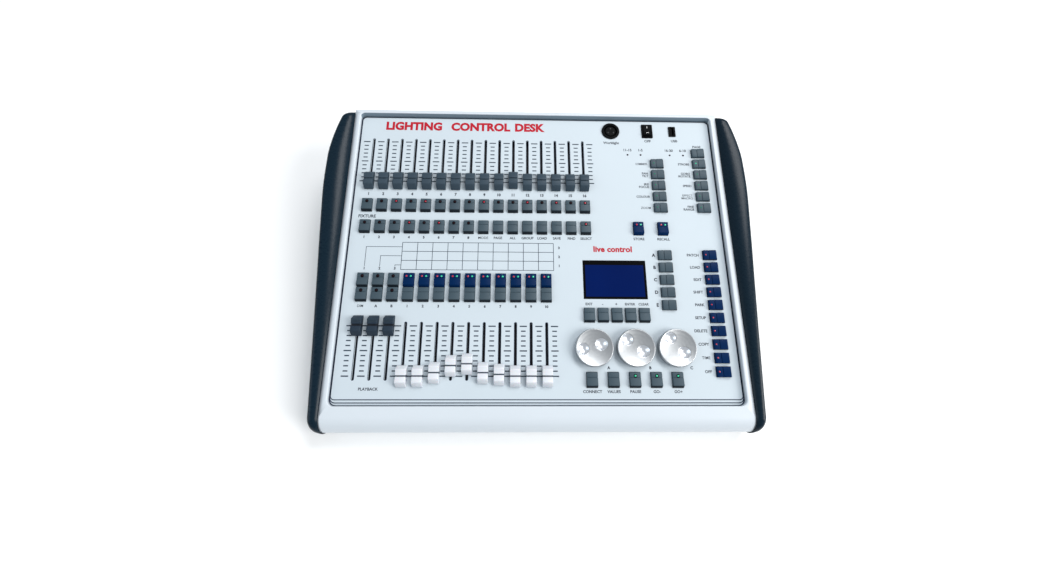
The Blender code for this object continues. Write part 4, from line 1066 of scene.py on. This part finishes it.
def makeBack():
    # pan head with a cross recess cut as a four-lobed dip, hooded air louvres, and printed words
    angle = np.linspace(0, 2 * math.pi, 32, endpoint=False)
    radius = np.array([0.0, 0.5, 0.9, 1.4, 1.9, 2.3, 2.7, 2.9, 3.0, 3.0])[:, None]
    height = 1.7 * np.sqrt(np.clip(1 - (radius / 3.1) ** 2, 0, 1)) + 0.35
    cross = np.cos(2 * angle) ** 6 * np.clip(1.9 - radius, 0, 0.5) / 0.5 * 1.1
    height = height - cross
    height[-1] = 0.0
    grid = np.stack([radius * np.cos(angle), radius * np.sin(angle), height + 0 * angle], -1) * mm
    faces = gridFaces(len(grid), 32, wrap=True)
    heads = [(onBack(grid, x, z), faces, "darkMetal") for x, z in backFacts["screws"]]
    addPiece("rearScrews", heads, sharp=40)
    wide, high, deep = backFacts["ventSize"]
    # hood: half an ellipse across its height, fading out to both ends, with a black sheet below as painted shade in its
    # opening
    u, w = np.meshgrid(np.linspace(-1, 1, 17), np.linspace(0, 1, 7), indexing="ij")
    swell = np.sqrt(np.clip(1 - u**4, 0, 1))
    out = deep * swell * np.sqrt(np.clip(1 - w**2, 0, 1))
    hood = np.stack([u * wide / 2, w * high * (0.35 + 0.65 * swell), out], -1) * mm
    mouthShade = np.stack([hood[:, 0], hood[:, 0] * np.array([1.0, 1.0, 0.0])], 1)
    parts = []
    for x, z in backFacts["vents"]:
        parts.append((onBack(hood, x, z), gridFaces(17, 7), "tray"))
        parts.append((onBack(mouthShade, x, z), gridFaces(17, 2), "black"))
    addPiece("rearLouvres", parts, sharp=35)
    printed = []
    for text, size, x, z in backFacts["words"]:
        points, wordFaces = letters(text, size, 0.0, 0.0)
        points[:, 2] = printLift
        printed.append((onBack(points, x, z), wordFaces, "ink"))
    addPiece("rearLabels", printed, closed=False)


makeBack()
print("back made")


# Plain CAD pieces that stay take these finishes

kept = {
    "control_panel": "panel", "base_tray": "tray", "main_board": "board", "fader_bank_upper": "bank",
    "fader_bank_lower": "bank", "wheel_board": "encoders", "display_module": "zinc", "power_supply": "zinc",
    "mains_inlet": "black", "dmx_output_plate": "black", "usb_socket": "black",
}
for node, finish in kept.items():
    nodes[node].data.materials.clear()
    nodes[node].data.materials.append(look[finish].material)
print("finishes given")


# Floor and light

stageFacts = {
    "half": 12.0, "floor": 0.96, "world": ((0.93, 0.965, 1.0), 0.50),
    # name, place, size, power, colour
    "lamps": [
        ("key", (3.4, -1.0, 2.3), (2.2, 2.2), 150.0, (1.0, 0.985, 0.955)),
        ("rear", (0.9, 1.08, 2.2), (1.4, 0.9), 36.0, (1.0, 1.0, 1.0)),
        ("left", (-2.6, -0.8, 1.8), (1.8, 1.8), 22.0, (0.80, 0.92, 1.0)),
    ],
}


def makeStage():
    half = stageFacts["half"]
    mesh = bpy.data.meshes.new("floor")
    mesh.from_pydata([(-half, -half, 0), (half, -half, 0), (half, half, 0), (-half, half, 0)], [], [(0, 1, 2, 3)])
    floor = link(bpy.data.objects.new("floor", mesh))
    paper = Graph("floorPaper", roughness=0.9)
    shade = stageFacts["floor"]
    paper.set(baseColor=(shade, shade, shade))
    mesh.materials.append(paper.material)
    colour, strength = stageFacts["world"]
    world = bpy.data.worlds.new("studio")
    world.use_nodes = True
    background = world.node_tree.nodes["Background"]
    background.inputs["Color"].default_value = (*colour, 1.0)
    background.inputs["Strength"].default_value = strength
    bpy.context.scene.world = world
    for name, place, size, power, colour in stageFacts["lamps"]:
        data = bpy.data.lights.new(name, "AREA")
        data.shape = "RECTANGLE"
        data.size, data.size_y = size
        data.energy, data.color = power, colour
        light = link(bpy.data.objects.new(name, data))
        light.location = place
        light.rotation_euler = (Vector((0, 0, 0.05)) - light.location).to_track_quat("-Z", "Y").to_euler()
    bpy.context.scene.view_settings.view_transform = "Standard"


makeStage()
print("stage made")
